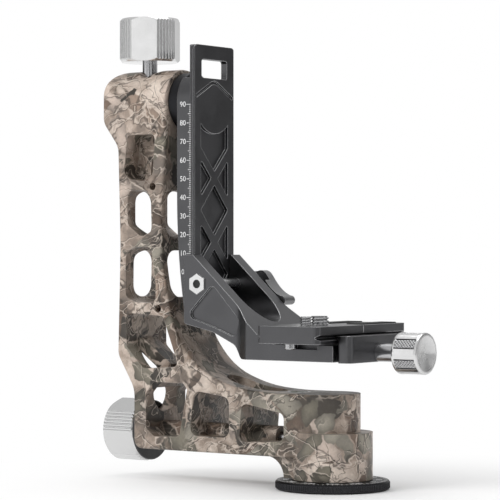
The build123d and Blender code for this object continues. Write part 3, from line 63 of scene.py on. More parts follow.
# ---------------------------------------------------------------- shader graphs
class Graph:
    """Adds nodes to one shader tree and joins them."""

    def __init__(self, tree: bpy.types.NodeTree) -> None:
        """Keep the tree that the nodes go into."""
        self.tree = tree

    def add(self, kind: str, inputs: dict | None = None, **settings: object) -> bpy.types.Node:
        """Add one node.

        Args:
            kind: The node's type, without the word ShaderNode.
            inputs: Values or sockets for the node's inputs, by name or number.
            settings: Values for the node's own settings.

        Returns:
            The new node.
        """
        made = self.tree.nodes.new("ShaderNode" + kind)
        for name, value in settings.items():
            setattr(made, name, value)
        for key, value in (inputs or {}).items():
            self.feed(made.inputs[key], value)
        return made

    def feed(self, socket: bpy.types.NodeSocket, value: object) -> None:
        """Join a socket to an input, or set the input's own value."""
        if isinstance(value, bpy.types.NodeSocket):
            self.tree.links.new(value, socket)
        elif isinstance(value, tuple) and len(value) == 3 and len(socket.default_value) == 4:
            socket.default_value = (*value, 1.0)
        else:
            socket.default_value = value

    def math(self, operation: str, a: object, b: object = 0.0, clamp: bool = False) -> bpy.types.NodeSocket:
        """Return the result of one arithmetic step on two values."""
        return self.add("Math", {0: a, 1: b}, operation=operation, use_clamp=clamp).outputs[0]

    def shift(self, operation: str, a: object, b: object) -> bpy.types.NodeSocket:
        """Return the result of one step on two vectors."""
        return self.add("VectorMath", {0: a, 1: b}, operation=operation).outputs[0]

    def mix(self, factor: object, a: object, b: object, blend: str = "MIX") -> bpy.types.NodeSocket:
        """Return a colour between two colours."""
        made = self.add("Mix", {0: factor, 6: a, 7: b}, data_type="RGBA", blend_type=blend)
        return made.outputs[2]

    def span(self, value: object, low: float, high: float, start: float = 0.0, end: float = 1.0) -> bpy.types.NodeSocket:
        """Return a value carried smoothly from one range to another."""
        inputs = {"Value": value, "From Min": low, "From Max": high, "To Min": start, "To Max": end}
        return self.add("MapRange", inputs, interpolation_type="SMOOTHSTEP").outputs["Result"]

    def noise(self, vector: object, scale: float, detail: float = 2.0, rough: float = 0.5) -> bpy.types.Node:
        """Return a noise texture node."""
        inputs = {"Vector": vector, "Scale": scale, "Detail": detail, "Roughness": rough}
        return self.add("TexNoise", inputs)

    def cells(self, vector: object, scale: float, feature: str = "F1") -> bpy.types.Node:
        """Return a cell texture node."""
        return self.add("TexVoronoi", {"Vector": vector, "Scale": scale}, feature=feature)

    def ramp(self, value: object, stops: tuple[tuple[float, Colour], ...], hard: bool = False) -> bpy.types.NodeSocket:
        """Return a colour looked up along a row of stops."""
        made = self.add("ValToRGB", {0: value})
        ramp = made.color_ramp
        ramp.interpolation = "CONSTANT" if hard else "LINEAR"
        while len(ramp.elements) < len(stops):
            ramp.elements.new(1.0)
        for element, (place, colour) in zip(ramp.elements, stops):
            element.position = place
            element.color = (*colour, 1.0)
        return made.outputs[0]

    def place(self, vector: object, turn: Point = (0, 0, 0), scale: Point = (1, 1, 1), move: Point = (0, 0, 0)) -> bpy.types.NodeSocket:
        """Return the coordinates turned first, in degrees, and then scaled and moved."""
        radians = tuple(math.radians(x) for x in turn)
        turned = self.add("Mapping", {"Vector": vector, "Rotation": radians}).outputs[0]
        return self.add("Mapping", {"Vector": turned, "Location": move, "Scale": scale}).outputs[0]


class Effects:
    """Node groups that several finishes share. Each is built once."""

    def __init__(self) -> None:
        """Start with no groups."""
        self.made: dict[str, bpy.types.NodeTree] = {}

    def group(self, name: str, inputs: dict[str, tuple[str, object]], outputs: dict[str, str]) -> tuple[Graph, dict, bpy.types.Node]:
        """Start a group.

        Args:
            name: The group's name.
            inputs: Socket type and value for each input, by name.
            outputs: Socket type for each output, by name.

        Returns:
            The group's graph, its input sockets by name, and its output node.
        """
        tree = bpy.data.node_groups.new(name, "ShaderNodeTree")
        for label, (kind, value) in inputs.items():
            socket = tree.interface.new_socket(name=label, in_out="INPUT", socket_type="NodeSocket" + kind)
            if kind != "Vector":
                socket.default_value = value
        for label, kind in outputs.items():
            tree.interface.new_socket(name=label, in_out="OUTPUT", socket_type="NodeSocket" + kind)
        self.made[name] = tree
        source = tree.nodes.new("NodeGroupInput")
        return Graph(tree), {s.name: s for s in source.outputs}, tree.nodes.new("NodeGroupOutput")

    def edges(self) -> bpy.types.NodeTree:
        """Return the group that finds edges: a mask and a softened normal."""
        if "soft_edges" in self.made:
            return self.made["soft_edges"]
        inputs = {"Radius": ("Float", 0.0004), "Breadth": ("Float", 1.0)}
        g, source, out = self.group("soft_edges", inputs, {"Mask": "Float", "Normal": "Vector"})
        bevel = g.add("Bevel", {"Radius": source["Radius"]}, samples=6)
        flat = g.add("NewGeometry").outputs["Normal"]
        dot = g.add("VectorMath", {0: bevel.outputs[0], 1: flat}, operation="DOT_PRODUCT").outputs["Value"]
        bend = g.math("MULTIPLY", g.math("SUBTRACT", 1.0, dot), source["Breadth"])
        g.feed(out.inputs["Mask"], g.span(bend, 0.004, 0.12))
        g.feed(out.inputs["Normal"], bevel.outputs[0])
        return g.tree

    def grain(self) -> bpy.types.NodeTree:
        """Return the group of fine blasted grain: a height, a shade and slow smudges."""
        if "blasted_grain" in self.made:
            return self.made["blasted_grain"]
        inputs = {"Vector": ("Vector", None), "Scale": ("Float", 4000.0)}
        g, source, out = self.group("blasted_grain", inputs, {"Height": "Float", "Shade": "Float", "Smudge": "Float"})
        fine = g.noise(source["Vector"], 1.0, 2.0, 0.6)
        g.feed(fine.inputs["Scale"], source["Scale"])
        slow = g.noise(source["Vector"], 48.0, 4.0, 0.65)
        g.feed(out.inputs["Height"], fine.outputs[0])
        g.feed(out.inputs["Shade"], g.span(fine.outputs[0], 0.3, 0.7))
        g.feed(out.inputs["Smudge"], g.span(slow.outputs[0], 0.35, 0.68))
        return g.tree

    def turned(self) -> bpy.types.NodeTree:
        """Return the group of lathe lines about the local Z axis, on faces and on sides."""
        if "lathe_lines" in self.made:
            return self.made["lathe_lines"]
        inputs = {"Vector": ("Vector", None), "Scale": ("Float", 900.0)}
        g, source, out = self.group("lathe_lines", inputs, {"Height": "Float"})
        rings = g.add("TexWave", {"Vector": source["Vector"], "Scale": source["Scale"], "Distortion": 0.6,
                                  "Detail": 2.0, "Detail Scale": 3.0}, wave_type="RINGS", rings_direction="Z")
        bands = g.add("TexWave", {"Vector": source["Vector"], "Scale": source["Scale"], "Distortion": 0.6,
                                  "Detail": 2.0, "Detail Scale": 3.0}, wave_type="BANDS", bands_direction="Z")
        g.feed(out.inputs["Height"], g.math("ADD", rings.outputs["Fac"], bands.outputs["Fac"]))
        return g.tree

    def woodland(self) -> bpy.types.NodeTree:
        """Return the group of the printed woodland pattern: blotches, leaves and twigs."""
        if "woodland_print" in self.made:
            return self.made["woodland_print"]
        g, source, out = self.group("woodland_print", {"Vector": ("Vector", None)}, {"Colour": "Color", "Height": "Float"})
        here = source["Vector"]
        stir = g.shift("SUBTRACT", g.noise(here, 42.0, 4.0, 0.55).outputs["Color"], (0.5, 0.5, 0.5))
        warped = g.shift("ADD", here, g.shift("MULTIPLY", stir, (0.015, 0.015, 0.015)))
        ground = g.ramp(g.noise(warped, 30.0, 8.0, 0.62).outputs[0], (
            (0.36, (0.045, 0.036, 0.028)), (0.44, (0.145, 0.108, 0.082)),
            (0.49, (0.300, 0.232, 0.185)), (0.54, (0.480, 0.390, 0.325)), (0.62, (0.680, 0.585, 0.505))))
        drift = g.mix(g.span(g.noise(here, 17.0, 2.0).outputs[0], 0.40, 0.60), (0.085, 0.072, 0.050), (0.58, 0.485, 0.415))
        layered = g.mix(0.22, ground, drift)
        # Leaves: lens-shaped cells, some of them filled, each light at its heart and dark at its end.
        for turn, stretch, scale, share, salt in (
            ((20, 48, 10), (1.0, 1.0, 0.40), 88.0, 0.44, 0.0),
            ((-35, -40, 30), (1.0, 0.9, 0.38), 125.0, 0.36, 3.1),
        ):
            lie = g.place(warped, turn=turn, scale=stretch, move=(salt, salt, salt))
            cell = g.cells(lie, scale)
            parts = g.add("SeparateColor", {0: cell.outputs["Color"]})
            rim = g.cells(lie, scale, "DISTANCE_TO_EDGE").outputs["Distance"]
            tone = g.ramp(parts.outputs[0], (
                (0.0, (0.060, 0.050, 0.040)), (0.20, (0.190, 0.130, 0.095)), (0.40, (0.190, 0.170, 0.130)),
                (0.55, (0.330, 0.245, 0.190)), (0.72, (0.305, 0.278, 0.228)), (0.84, (0.580, 0.475, 0.405))), hard=True)
            shaded = g.mix(g.span(cell.outputs["Distance"], 0.15, 0.85), tone, g.mix(0.75, tone, (0.02, 0.016, 0.012)))
            chosen = g.math("LESS_THAN", parts.outputs[1], share)
            layered = g.mix(g.math("MULTIPLY", chosen, g.span(rim, 0.02, 0.07)), layered, shaded)
        # Twigs: long level lines of stretched noise, each with a dark side and a pale side.
        for turn, stretch, shift, width in (
            ((8, 18, 0), (66, 66, 12), 0.0, 0.014), ((0, 62, 12), (80, 80, 12), 5.0, 0.017),
            ((30, -44, 0), (100, 100, 15), 9.0, 0.018), ((-15, 108, 30), (120, 120, 17), 13.0, 0.016),
        ):
            lie = g.place(warped, turn=turn, scale=stretch, move=(shift, shift, shift))
            level = g.noise(lie, 1.0, 2.0, 0.45).outputs[0]
            near = g.noise(g.place(here, move=(shift, 0, shift)), 30.0, 2.0).outputs[0]
            patch = g.span(near, 0.41, 0.50)
            for at, tint, broad in ((0.5, (0.030, 0.023, 0.018), 1.0), (0.5 + 1.5 * width, (0.66, 0.57, 0.49), 0.75)):
                off = g.math("ABSOLUTE", g.math("SUBTRACT", level, at))
                line = g.span(off, 0.25 * width * broad, width * broad, 0.60, 0.0)
                layered = g.mix(g.math("MULTIPLY", line, patch), layered, tint)
        reeds = layered
        speck = g.noise(here, 620.0, 3.0, 0.7).outputs[0]
        g.feed(out.inputs["Colour"], g.mix(g.span(speck, 0.35, 0.75), g.mix(0.16, reeds, (0.0, 0.0, 0.0)), reeds))
        g.feed(out.inputs["Height"], g.noise(here, 1500.0, 2.0, 0.5).outputs[0])
        return g.tree


EFFECTS = Effects()


def new_material(name: str) -> tuple[bpy.types.Material, Graph, bpy.types.Node]:
    """Return an empty material with its graph and its Principled shader."""
    material = bpy.data.materials.new(name)
    material.use_nodes = True
    graph = Graph(material.node_tree)
    return material, graph, material.node_tree.nodes["Principled BSDF"]


class Lay(Enum):
    """How the marks of the tool lie on a metal."""

    BLASTED = "blasted"
    TURNED = "turned"
    DRAWN = "drawn"


@dataclass(frozen=True)
class Metal:
    """A metal finish with grain, slow smudges, and edges painted lighter: a painted highlight, partly wear."""

    name: str
    colour: Colour
    roughness: float
    metallic: float = 1.0
    lay: Lay = Lay.BLASTED
    grain: float = 3800.0
    relief: float = 0.05
    edge_colour: Colour = (0.9, 0.9, 0.9)
    edge_mix: float = 0.5
    edge_radius: float = 0.0004
    smudge: float = 0.10
    axis_turn: Point = (0.0, 0.0, 0.0)
    axis_point: Point = (0.0, 0.0, 0.0)
    draw: Point = (1.0, 1.0, 1.0)
    anisotropy: float = 0.0
    axis: str = "Z"

    def build(self) -> bpy.types.Material:
        """Return the finish as a material."""
        material, g, shader = new_material(self.name)
        where = g.add("TexCoord").outputs["Object"]
        edges = g.add("Group", {"Radius": self.edge_radius}, node_tree=EFFECTS.edges())
        grain = g.add("Group", {"Vector": where, "Scale": self.grain}, node_tree=EFFECTS.grain())
        height = grain.outputs["Height"]
        if self.lay is Lay.TURNED:
            centred = g.shift("SUBTRACT", where, tuple(v * MM for v in self.axis_point))
            lines = g.add("Group", {"Vector": g.place(centred, turn=self.axis_turn), "Scale": self.grain / 6},
                          node_tree=EFFECTS.turned())
            height = g.math("ADD", lines.outputs["Height"], g.math("MULTIPLY", height, 0.3))
        if self.lay is Lay.DRAWN:
            drawn = g.add("Group", {"Vector": g.place(where, scale=self.draw), "Scale": self.grain},
                          node_tree=EFFECTS.grain())
            height = drawn.outputs["Height"]
        shade = g.mix(g.span(height, 0.2, 0.8), tuple(c * 0.86 for c in self.colour), self.colour)
        # Edges are painted towards the edge colour: a painted highlight, partly wear.
        edges_worn_and_highlit = g.mix(g.math("MULTIPLY", edges.outputs["Mask"], self.edge_mix), shade, self.edge_colour)
        rough = g.span(grain.outputs["Smudge"], 0.0, 1.0, self.roughness - self.smudge / 2, self.roughness + self.smudge / 2)
        bump = g.add("Bump", {"Strength": self.relief, "Distance": 0.0002, "Height": height,
                              "Normal": edges.outputs["Normal"]})
        g.feed(shader.inputs["Base Color"], edges_worn_and_highlit)
        g.feed(shader.inputs["Roughness"], rough)
        g.feed(shader.inputs["Normal"], bump.outputs[0])
        shader.inputs["Metallic"].default_value = self.metallic
        if self.anisotropy:
            shader.inputs["Anisotropic"].default_value = self.anisotropy
            shader.inputs["Anisotropic Rotation"].default_value = 0.25
            around = g.add("Tangent", direction_type="RADIAL", axis=self.axis)
            g.feed(shader.inputs["Tangent"], around.outputs[0])
        return material


@dataclass(frozen=True)
class PrintedShell:
    """The cast frame's printed woodland coat under a satin lacquer."""

    name: str
    roughness: float = 0.46
    edge_radius: float = 0.0007

    def build(self) -> bpy.types.Material:
        """Return the finish as a material."""
        material, g, shader = new_material(self.name)
        where = g.add("TexCoord").outputs["Object"]
        edges = g.add("Group", {"Radius": self.edge_radius}, node_tree=EFFECTS.edges())
        grain = g.add("Group", {"Vector": where, "Scale": 1800.0}, node_tree=EFFECTS.grain())
        pattern = g.add("Group", {"Vector": where}, node_tree=EFFECTS.woodland())
        # Edges are painted paler: partly wear of the print, partly a painted highlight.
        pale = g.mix(0.5, pattern.outputs["Colour"], (0.60, 0.53, 0.45))
        edges_worn_and_highlit = g.mix(g.math("MULTIPLY", edges.outputs["Mask"], 0.55), pattern.outputs["Colour"], pale)
        bump = g.add("Bump", {"Strength": 0.12, "Distance": 0.0003, "Height": pattern.outputs["Height"],
                              "Normal": edges.outputs["Normal"]})
        g.feed(shader.inputs["Base Color"], edges_worn_and_highlit)
        g.feed(shader.inputs["Roughness"], g.span(grain.outputs["Smudge"], 0.0, 1.0, self.roughness - 0.07, self.roughness + 0.07))
        g.feed(shader.inputs["Normal"], bump.outputs[0])
        shader.inputs["Coat Weight"].default_value = 0.15
        shader.inputs["Coat Roughness"].default_value = 0.35
        return material


@dataclass(frozen=True)
class Solid:
    """Rubber, plastic, ink or lacquer: one colour with grain, lighter towards the edges."""

    name: str
    colour: Colour
    roughness: float
    relief: float = 0.1
    grain: float = 2200.0

    def build(self) -> bpy.types.Material:
        """Return the finish as a material."""
        material, g, shader = new_material(self.name)
        where = g.add("TexCoord").outputs["Object"]
        grain = g.add("Group", {"Vector": where, "Scale": self.grain}, node_tree=EFFECTS.grain())
        edges = g.add("Group", {"Radius": 0.0003}, node_tree=EFFECTS.edges())
        shade = g.mix(grain.outputs["Shade"], tuple(c * 0.8 for c in self.colour), self.colour)
        # Lighter towards the edges.
        edges_lightened = g.mix(g.math("MULTIPLY", edges.outputs["Mask"], 0.25), shade, tuple(min(1.0, c * 1.5 + 0.02) for c in self.colour))
        bump = g.add("Bump", {"Strength": self.relief, "Distance": 0.0002, "Height": grain.outputs["Height"],
                              "Normal": edges.outputs["Normal"]})
        g.feed(shader.inputs["Base Color"], edges_lightened)
        g.feed(shader.inputs["Roughness"], g.span(grain.outputs["Smudge"], 0.0, 1.0, self.roughness - 0.05, self.roughness + 0.05))
        g.feed(shader.inputs["Normal"], bump.outputs[0])
        return material


@dataclass(frozen=True)
class Liquid:
    """The level's tinted liquid under clear plastic."""

    name: str
    colour: Colour

    def build(self) -> bpy.types.Material:
        """Return the finish as a material."""
        material, g, shader = new_material(self.name)
        where = g.add("TexCoord").outputs["Object"]
        cloud = g.noise(where, 500.0, 2.0)
        g.feed(shader.inputs["Base Color"], g.mix(cloud.outputs[0], tuple(c * 0.9 for c in self.colour), self.colour))
        shader.inputs["Roughness"].default_value = 0.06
        shader.inputs["Transmission Weight"].default_value = 0.45
        shader.inputs["IOR"].default_value = 1.45
        return material


# ---------------------------------------------------------------- mesh helpers
class Shape:
    """A bmesh in millimetres that ends as one object in place."""

    def __init__(self, name: str) -> None:
        """Start an empty mesh for the piece of that name."""
        self.name = name
        self.mesh = bmesh.new()
        self.settled: set[bmesh.types.BMVert] = set()

    def box(self, low: Point, high: Point) -> list[bmesh.types.BMVert]:
        """Add a box from its lowest to its highest corner and return its corners."""
        size = Vector(high) - Vector(low)
        middle = (Vector(high) + Vector(low)) / 2
        matrix = Matrix.Translation(middle) @ Matrix.Diagonal((*size, 1.0))
        return bmesh.ops.create_cube(self.mesh, size=1.0, matrix=matrix)["verts"]

    def lathe(self, profile: list[tuple[float, float]], segments: int, matrix: Matrix) -> list[bmesh.types.BMVert]:
        """Turn a profile about the local Z axis.

        Args:
            profile: Radius and height of each point, in order. A radius of 0 closes the end.
            segments: How many steps make the full turn.
            matrix: Where the turned shape goes.

        Returns:
            The vertices of the turned shape.
        """
        points = [self.mesh.verts.new((radius, 0.0, height)) for radius, height in profile]
        lines = [self.mesh.edges.new(pair) for pair in zip(points, points[1:])]
        bmesh.ops.spin(self.mesh, geom=points + lines, cent=(0, 0, 0), axis=(0, 0, 1), angle=TURN,
                       steps=segments, use_merge=True)
        known = set(self.mesh.verts) - self.settled
        bmesh.ops.remove_doubles(self.mesh, verts=list(known), dist=1e-4)
        fresh = [v for v in self.mesh.verts if v in known]
        bmesh.ops.transform(self.mesh, matrix=matrix, verts=fresh)
        self.settled = set(self.mesh.verts)
        return fresh

    def take(self, node: str) -> list[bmesh.types.BMVert]:
        """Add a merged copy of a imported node, in millimetres, and return its vertices."""
        before = set(self.mesh.verts)
        self.mesh.from_mesh(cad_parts[node].data)
        fresh = [v for v in self.mesh.verts if v not in before]
        bmesh.ops.scale(self.mesh, vec=(1 / MM,) * 3, verts=fresh)
        bmesh.ops.remove_doubles(self.mesh, verts=fresh, dist=2e-3)
        self.settled = set(self.mesh.verts)
        return [v for v in self.mesh.verts if v not in before]

    def finish(self, body: str, material: bpy.types.Material, smooth: float = 35.0,
               replaced: tuple[str, ...] = ()) -> bpy.types.Object:
        """Turn the mesh into an object that rides on a body.

        Args:
            body: The body that it rides on.
            material: Its material.
            smooth: Edges sharper than this many degrees stay sharp.
            replaced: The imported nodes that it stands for.

        Returns:
            The object, in metres, at the origin.
        """
        bmesh.ops.recalc_face_normals(self.mesh, faces=self.mesh.faces)
        bmesh.ops.scale(self.mesh, vec=(MM, MM, MM), verts=self.mesh.verts)
        data = bpy.data.meshes.new(self.name)
        self.mesh.to_mesh(data)
        self.mesh.free()
        data.shade_smooth()
        data.set_sharp_from_angle(angle=math.radians(smooth))
        made = bpy.data.objects.new(self.name, data)
        bpy.context.scene.collection.objects.link(made)
        made.data.materials.append(material)
        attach(made, body)
        if replaced:
            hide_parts(*replaced)
        LOG.info("%s: %d faces on %s", self.name, len(data.polygons), body)
        return made

    def text(self, words: str, height: float, matrix: Matrix, thick: float = 0.05) -> None:
        """Add flat lettering, centred on the matrix's origin.

        Args:
            words: What it says.
            height: The height of a capital, in millimetres.
            matrix: Where it goes: X along the line, Y up the letters, Z out of the surface.
            thick: How far it stands proud.
        """
        curve = bpy.data.curves.new("lettering", "FONT")
        curve.body = words
        curve.size = height * 1.40
        curve.align_x = "CENTER"
        curve.align_y = "CENTER"
        curve.resolution_u = 3
        curve.extrude = thick
        holder = bpy.data.objects.new("lettering", curve)
        bpy.context.scene.collection.objects.link(holder)
        solid = bpy.data.meshes.new_from_object(holder.evaluated_get(bpy.context.evaluated_depsgraph_get()))
        bpy.data.objects.remove(holder)
        before = set(self.mesh.verts)
        self.mesh.from_mesh(solid)
        fresh = [v for v in self.mesh.verts if v not in before]
        bmesh.ops.remove_doubles(self.mesh, verts=fresh, dist=1e-4)
        fresh = [v for v in self.mesh.verts if v not in before]
        bmesh.ops.transform(self.mesh, matrix=matrix, verts=fresh)
        self.settled = set(self.mesh.verts)
        bpy.data.meshes.remove(solid)


def facing(origin: Point, across: Point, up: Point) -> Matrix:
    """Return the placement whose X runs across, whose Y runs up, and whose Z stands out."""
    x = Vector(across).normalized()
    y = Vector(up).normalized()
    z = x.cross(y)
    return Matrix.Translation(origin) @ Matrix((x, y, z)).transposed().to_4x4()


def dress(nodes: tuple[str, ...], material: bpy.types.Material) -> None:
    """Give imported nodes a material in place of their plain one."""
    for node in nodes:
        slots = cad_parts[node].data.materials
        slots.clear()
        slots.append(material)
        LOG.info("%s: %s", node, material.name)


# ---------------------------------------------------------------- finishes
@dataclass(frozen=True)
class Finishes:
    """Every material of the head."""

    woodland: bpy.types.Material
    black: bpy.types.Material
    dark: bpy.types.Material
    knob: bpy.types.Material
    knurl: bpy.types.Material
    knurl_floor: bpy.types.Material
    knob_end: bpy.types.Material
    tilt_knob: bpy.types.Material
    pan_knob: bpy.types.Material
    blasted: bpy.types.Material
    steel: bpy.types.Material
    bright: bpy.types.Material
    bearing: bpy.types.Material
    bronze: bpy.types.Material
    rubber: bpy.types.Material
    collar: bpy.types.Material
    ink: bpy.types.Material
    level_body: bpy.types.Material
    liquid: bpy.types.Material
    bubble: bpy.types.Material

    @classmethod
    def build(cls) -> "Finishes":
        """Build each finish once."""
        return cls(
            woodland=PrintedShell("woodland_print").build(),
            black=Metal("black_anodised", (0.035, 0.035, 0.038), 0.40, relief=0.10,
                        edge_colour=(0.20, 0.20, 0.21), edge_mix=0.5).build(),
            # Its edges get a strong painted highlight standing for the light on the chamfers.
            dark=Metal("dark_anodised", (0.122, 0.122, 0.127), 0.33, relief=0.14, grain=3200.0,
                       edge_colour=(0.70, 0.70, 0.71), edge_mix=0.85, edge_radius=0.00045).build(),
            knob=Metal("turned_silver", (0.80, 0.80, 0.80), 0.18, relief=0.03, axis="X").build(),
            # The knurled bands are painted darker than the smooth lands to stand for the shade between the teeth, and
            # their tooth edges get a painted highlight.
            knurl=Metal("knurled_silver", (0.62, 0.62, 0.63), 0.28, relief=0.03, edge_colour=(0.9, 0.9, 0.9),
                        edge_mix=0.5, edge_radius=0.0002).build(),
            # Near-black metal painted on the knurl's valleys and band rims: painted shade.
            knurl_floor=Metal("knurl_floor", (0.055, 0.055, 0.057), 0.4, relief=0.03, edge_mix=0.0).build(),
            knob_end=Metal("turned_face", (0.78, 0.78, 0.78), 0.30, relief=0.01, anisotropy=0.95, axis="X").build(),
            tilt_knob=Metal("tilt_knob_silver", (0.80, 0.80, 0.80), 0.18, relief=0.03, edge_mix=0.2, smudge=0.05).build(),
            pan_knob=Metal("pan_knob_silver", (0.74, 0.74, 0.74), 0.20, relief=0.03, edge_mix=0.2, smudge=0.05).build(),
            blasted=Metal("lever_silver", (0.25, 0.25, 0.255), 0.38, relief=0.25, grain=3000.0,
                          edge_colour=(0.60, 0.60, 0.60)).build(),
            steel=Metal("turned_steel", (0.55, 0.55, 0.56), 0.24, relief=0.06, edge_mix=0.4).build(),
            bright=Metal("bright_steel", (0.80, 0.80, 0.80), 0.26, relief=0.05, edge_mix=0.4).build(),
            bearing=Metal("ground_steel", (0.58, 0.58, 0.60), 0.26, lay=Lay.DRAWN, draw=(1, 1, 0.2), relief=0.08).build(),
            bronze=Metal("bronze", (0.62, 0.42, 0.20), 0.34, relief=0.1, edge_colour=(0.85, 0.65, 0.4)).build(),
            rubber=Solid("rubber_black", (0.020, 0.020, 0.020), 0.62, relief=0.25).build(),
            collar=Solid("collar_black", (0.024, 0.024, 0.026), 0.40, relief=0.12).build(),
            ink=Solid("scale_white", (0.92, 0.92, 0.92), 0.55, relief=0.05).build(),
            level_body=Metal("level_body", (0.62, 0.62, 0.62), 0.28, edge_colour=(0.85, 0.85, 0.85)).build(),
            liquid=Liquid("level_liquid", (0.72, 0.82, 0.35)).build(),
            bubble=Solid("level_bubble", (0.88, 0.93, 0.75), 0.12, relief=0.02).build(),
        )


# ---------------------------------------------------------------- sub-assemblies
@dataclass
class Base:
    """The index ring and what stays fixed to the tripod. Sizes in millimetres."""

    finishes: Finishes
    ring_radius: float = 30.0
    ring_top: float = 5.0
    teeth: int = 144
    tooth_depth: float = 0.35
    number_turn: float = 3.0

    def ring(self) -> bpy.types.Object:
        """Build the ring with its straight knurl."""
        shape = Shape("index_ring_knurled")
        top, rim = self.ring_top, self.ring_radius
        profile = [(26.02, 0.5), (rim - 0.5, 0.5), (rim, 1.0), (rim, top - 1.0), (rim - 0.6, top - 0.35),
                   (rim - 0.9, top), (18.0, top), (18.0, 3.0), (26.02, 3.0), (26.02, 0.5)]
        for vert in shape.lathe(profile, self.teeth * 2, Matrix.Identity(4)):
            radius = math.hypot(vert.co.x, vert.co.y)
            step = round(math.atan2(vert.co.y, vert.co.x) / TURN * self.teeth * 2)
            if radius > rim - 0.05 and step % 2:
                vert.co.xy *= (rim - self.tooth_depth) / radius
        return shape.finish("base", self.finishes.black, 28.0, ("index_ring",))

    def marks(self) -> bpy.types.Object:
        """Print the scale of degrees on the ring."""
        shape = Shape("index_ring_marks")
        for step in range(72):
            angle = math.radians(5 * step + self.number_turn)
            inner = 26.6 if step % 2 == 0 else 27.6
            line = shape.box((inner, -0.22, self.ring_top), (28.9, 0.22, self.ring_top + 0.05))
            bmesh.ops.rotate(shape.mesh, verts=line, cent=(0, 0, 0), matrix=Matrix.Rotation(angle, 3, "Z"))
        for number in range(12):
            angle = math.radians(30 * number + self.number_turn)
            out = Vector((math.cos(angle), math.sin(angle), 0))
            origin = out * 24.5 + Vector((0, 0, self.ring_top))
            shape.text(str(30 * number), 3.4, facing(origin, out.cross((0, 0, 1)) * -1, -out))
        return shape.finish("base", self.finishes.ink)

    def build(self) -> None:
        """Dress the base."""
        dress(("base_plate",), self.finishes.black)
        dress(("pan_spindle", "base_screws", "spindle_nut"), self.finishes.steel)
        self.ring()
        self.marks()


@dataclass
class Upright:
    """The printed frame with what is set into it. Sizes in millimetres."""

    finishes: Finishes
    level_x: float = -21.0
    level_top: float = 50.0
    level_radius: float = 4.98
    block_x: float = -4.0
    block_radius: float = 18.0
    skin_half: float = 2.6
    skin_z: tuple[float, float] = (30.5, 37.6)

    def level(self) -> None:
        """Build the bubble level: a domed window, a ring mark and the bubble."""
        at = Matrix.Translation((self.level_x, 0, 0))
        dome = Shape("level_window")
        r = self.level_radius
        dome.lathe([(0, 46.4), (r, 46.4), (r, 49.2), (r - 0.5, 49.55), (r * 0.6, 49.75), (0, 49.85)], 48, at)
        dome.finish("frame", self.finishes.liquid, 60.0, ("level_vial",))
        ring = Shape("level_ring_mark")
        ring.lathe([(1.75, 49.82), (2.0, 49.81), (2.0, 49.86), (1.75, 49.87), (1.75, 49.82)], 48, at)
        ring.finish("frame", self.finishes.rubber)
        bubble = Shape("level_bubble")
        bubble.lathe([(0, 49.80), (1.45, 49.79), (1.45, 49.83), (1.1, 49.88), (0, 49.90)], 40, at)
        bubble.finish("frame", self.finishes.bubble, 60.0)

    def wall(self) -> None:
        """Close the housing wall in front of the upper bearing with a thin skin of the same print."""
        skin = Shape("housing_wall_skin")
        rows = [[[skin.mesh.verts.new((self.block_x + r * math.cos(a), r * math.sin(a), z)) for a in self.skin_angles()]
                 for r in (self.block_radius + 0.005, self.block_radius + 0.03)] for z in self.skin_z]
        loops = [rows[0][0], rows[0][1], rows[1][1], rows[1][0]]
        for one, two in zip(loops, loops[1:] + loops[:1]):
            for a, b, c, d in zip(one, one[1:], two[1:], two):
                skin.mesh.faces.new((a, b, c, d))
        for end in (0, -1):
            skin.mesh.faces.new([loop[end] for loop in loops])
        skin.finish("frame", self.finishes.woodland, 60.0)

    def skin_angles(self) -> list[float]:
        """Return the angles of the skin's corners about the block's axis."""
        half = math.asin(self.skin_half / self.block_radius)
        return [half * (i / 6 - 1) for i in range(13)]

    def build(self) -> None:
        """Dress the frame and what it carries."""
        dress(("frame",), self.finishes.woodland)
        dress(("pan_bearings", "tilt_bearings"), self.finishes.bearing)
        dress(("pan_brake_shoe", "tilt_brake_shoe"), self.finishes.bronze)
        dress(("bearing_retainer", "tilt_end_cap"), self.finishes.black)
        dress(("level_cup",), self.finishes.level_body)
        self.level()
        self.wall()


@dataclass
class SwingArm:
    """The rail with its printed height scale. Sizes in millimetres."""

    finishes: Finishes
    side_y: float = -17.0
    zero_z: float = 112.8
    marks_end_x: float = -79.6
    last_mark: int = 90

    def scale(self) -> bpy.types.Object:
        """Print the height scale on the rail's near side."""
        shape = Shape("rail_scale")
        for step in range(self.last_mark + 1):
            length = 2.8 if step % 10 == 0 else 1.9 if step % 5 == 0 else 1.05
            z = self.zero_z + step
            shape.box((self.marks_end_x - length, self.side_y - 0.05, z - 0.16),
                      (self.marks_end_x, self.side_y, z + 0.16))
            if step % 10 == 0:
                place = facing((-84.85, self.side_y, z), (1, 0, 0), (0, 0, 1))
                shape.text(str(step), 2.9, place)
        return shape.finish("swing_arm", self.finishes.ink)

    def build(self) -> None:
        """Dress the swing arm."""
        dress(("rail",), self.finishes.dark)
        dress(("pivot_flange",), self.finishes.black)
        dress(("tilt_shaft", "shaft_nut", "flange_screws"), self.finishes.steel)
        self.scale()


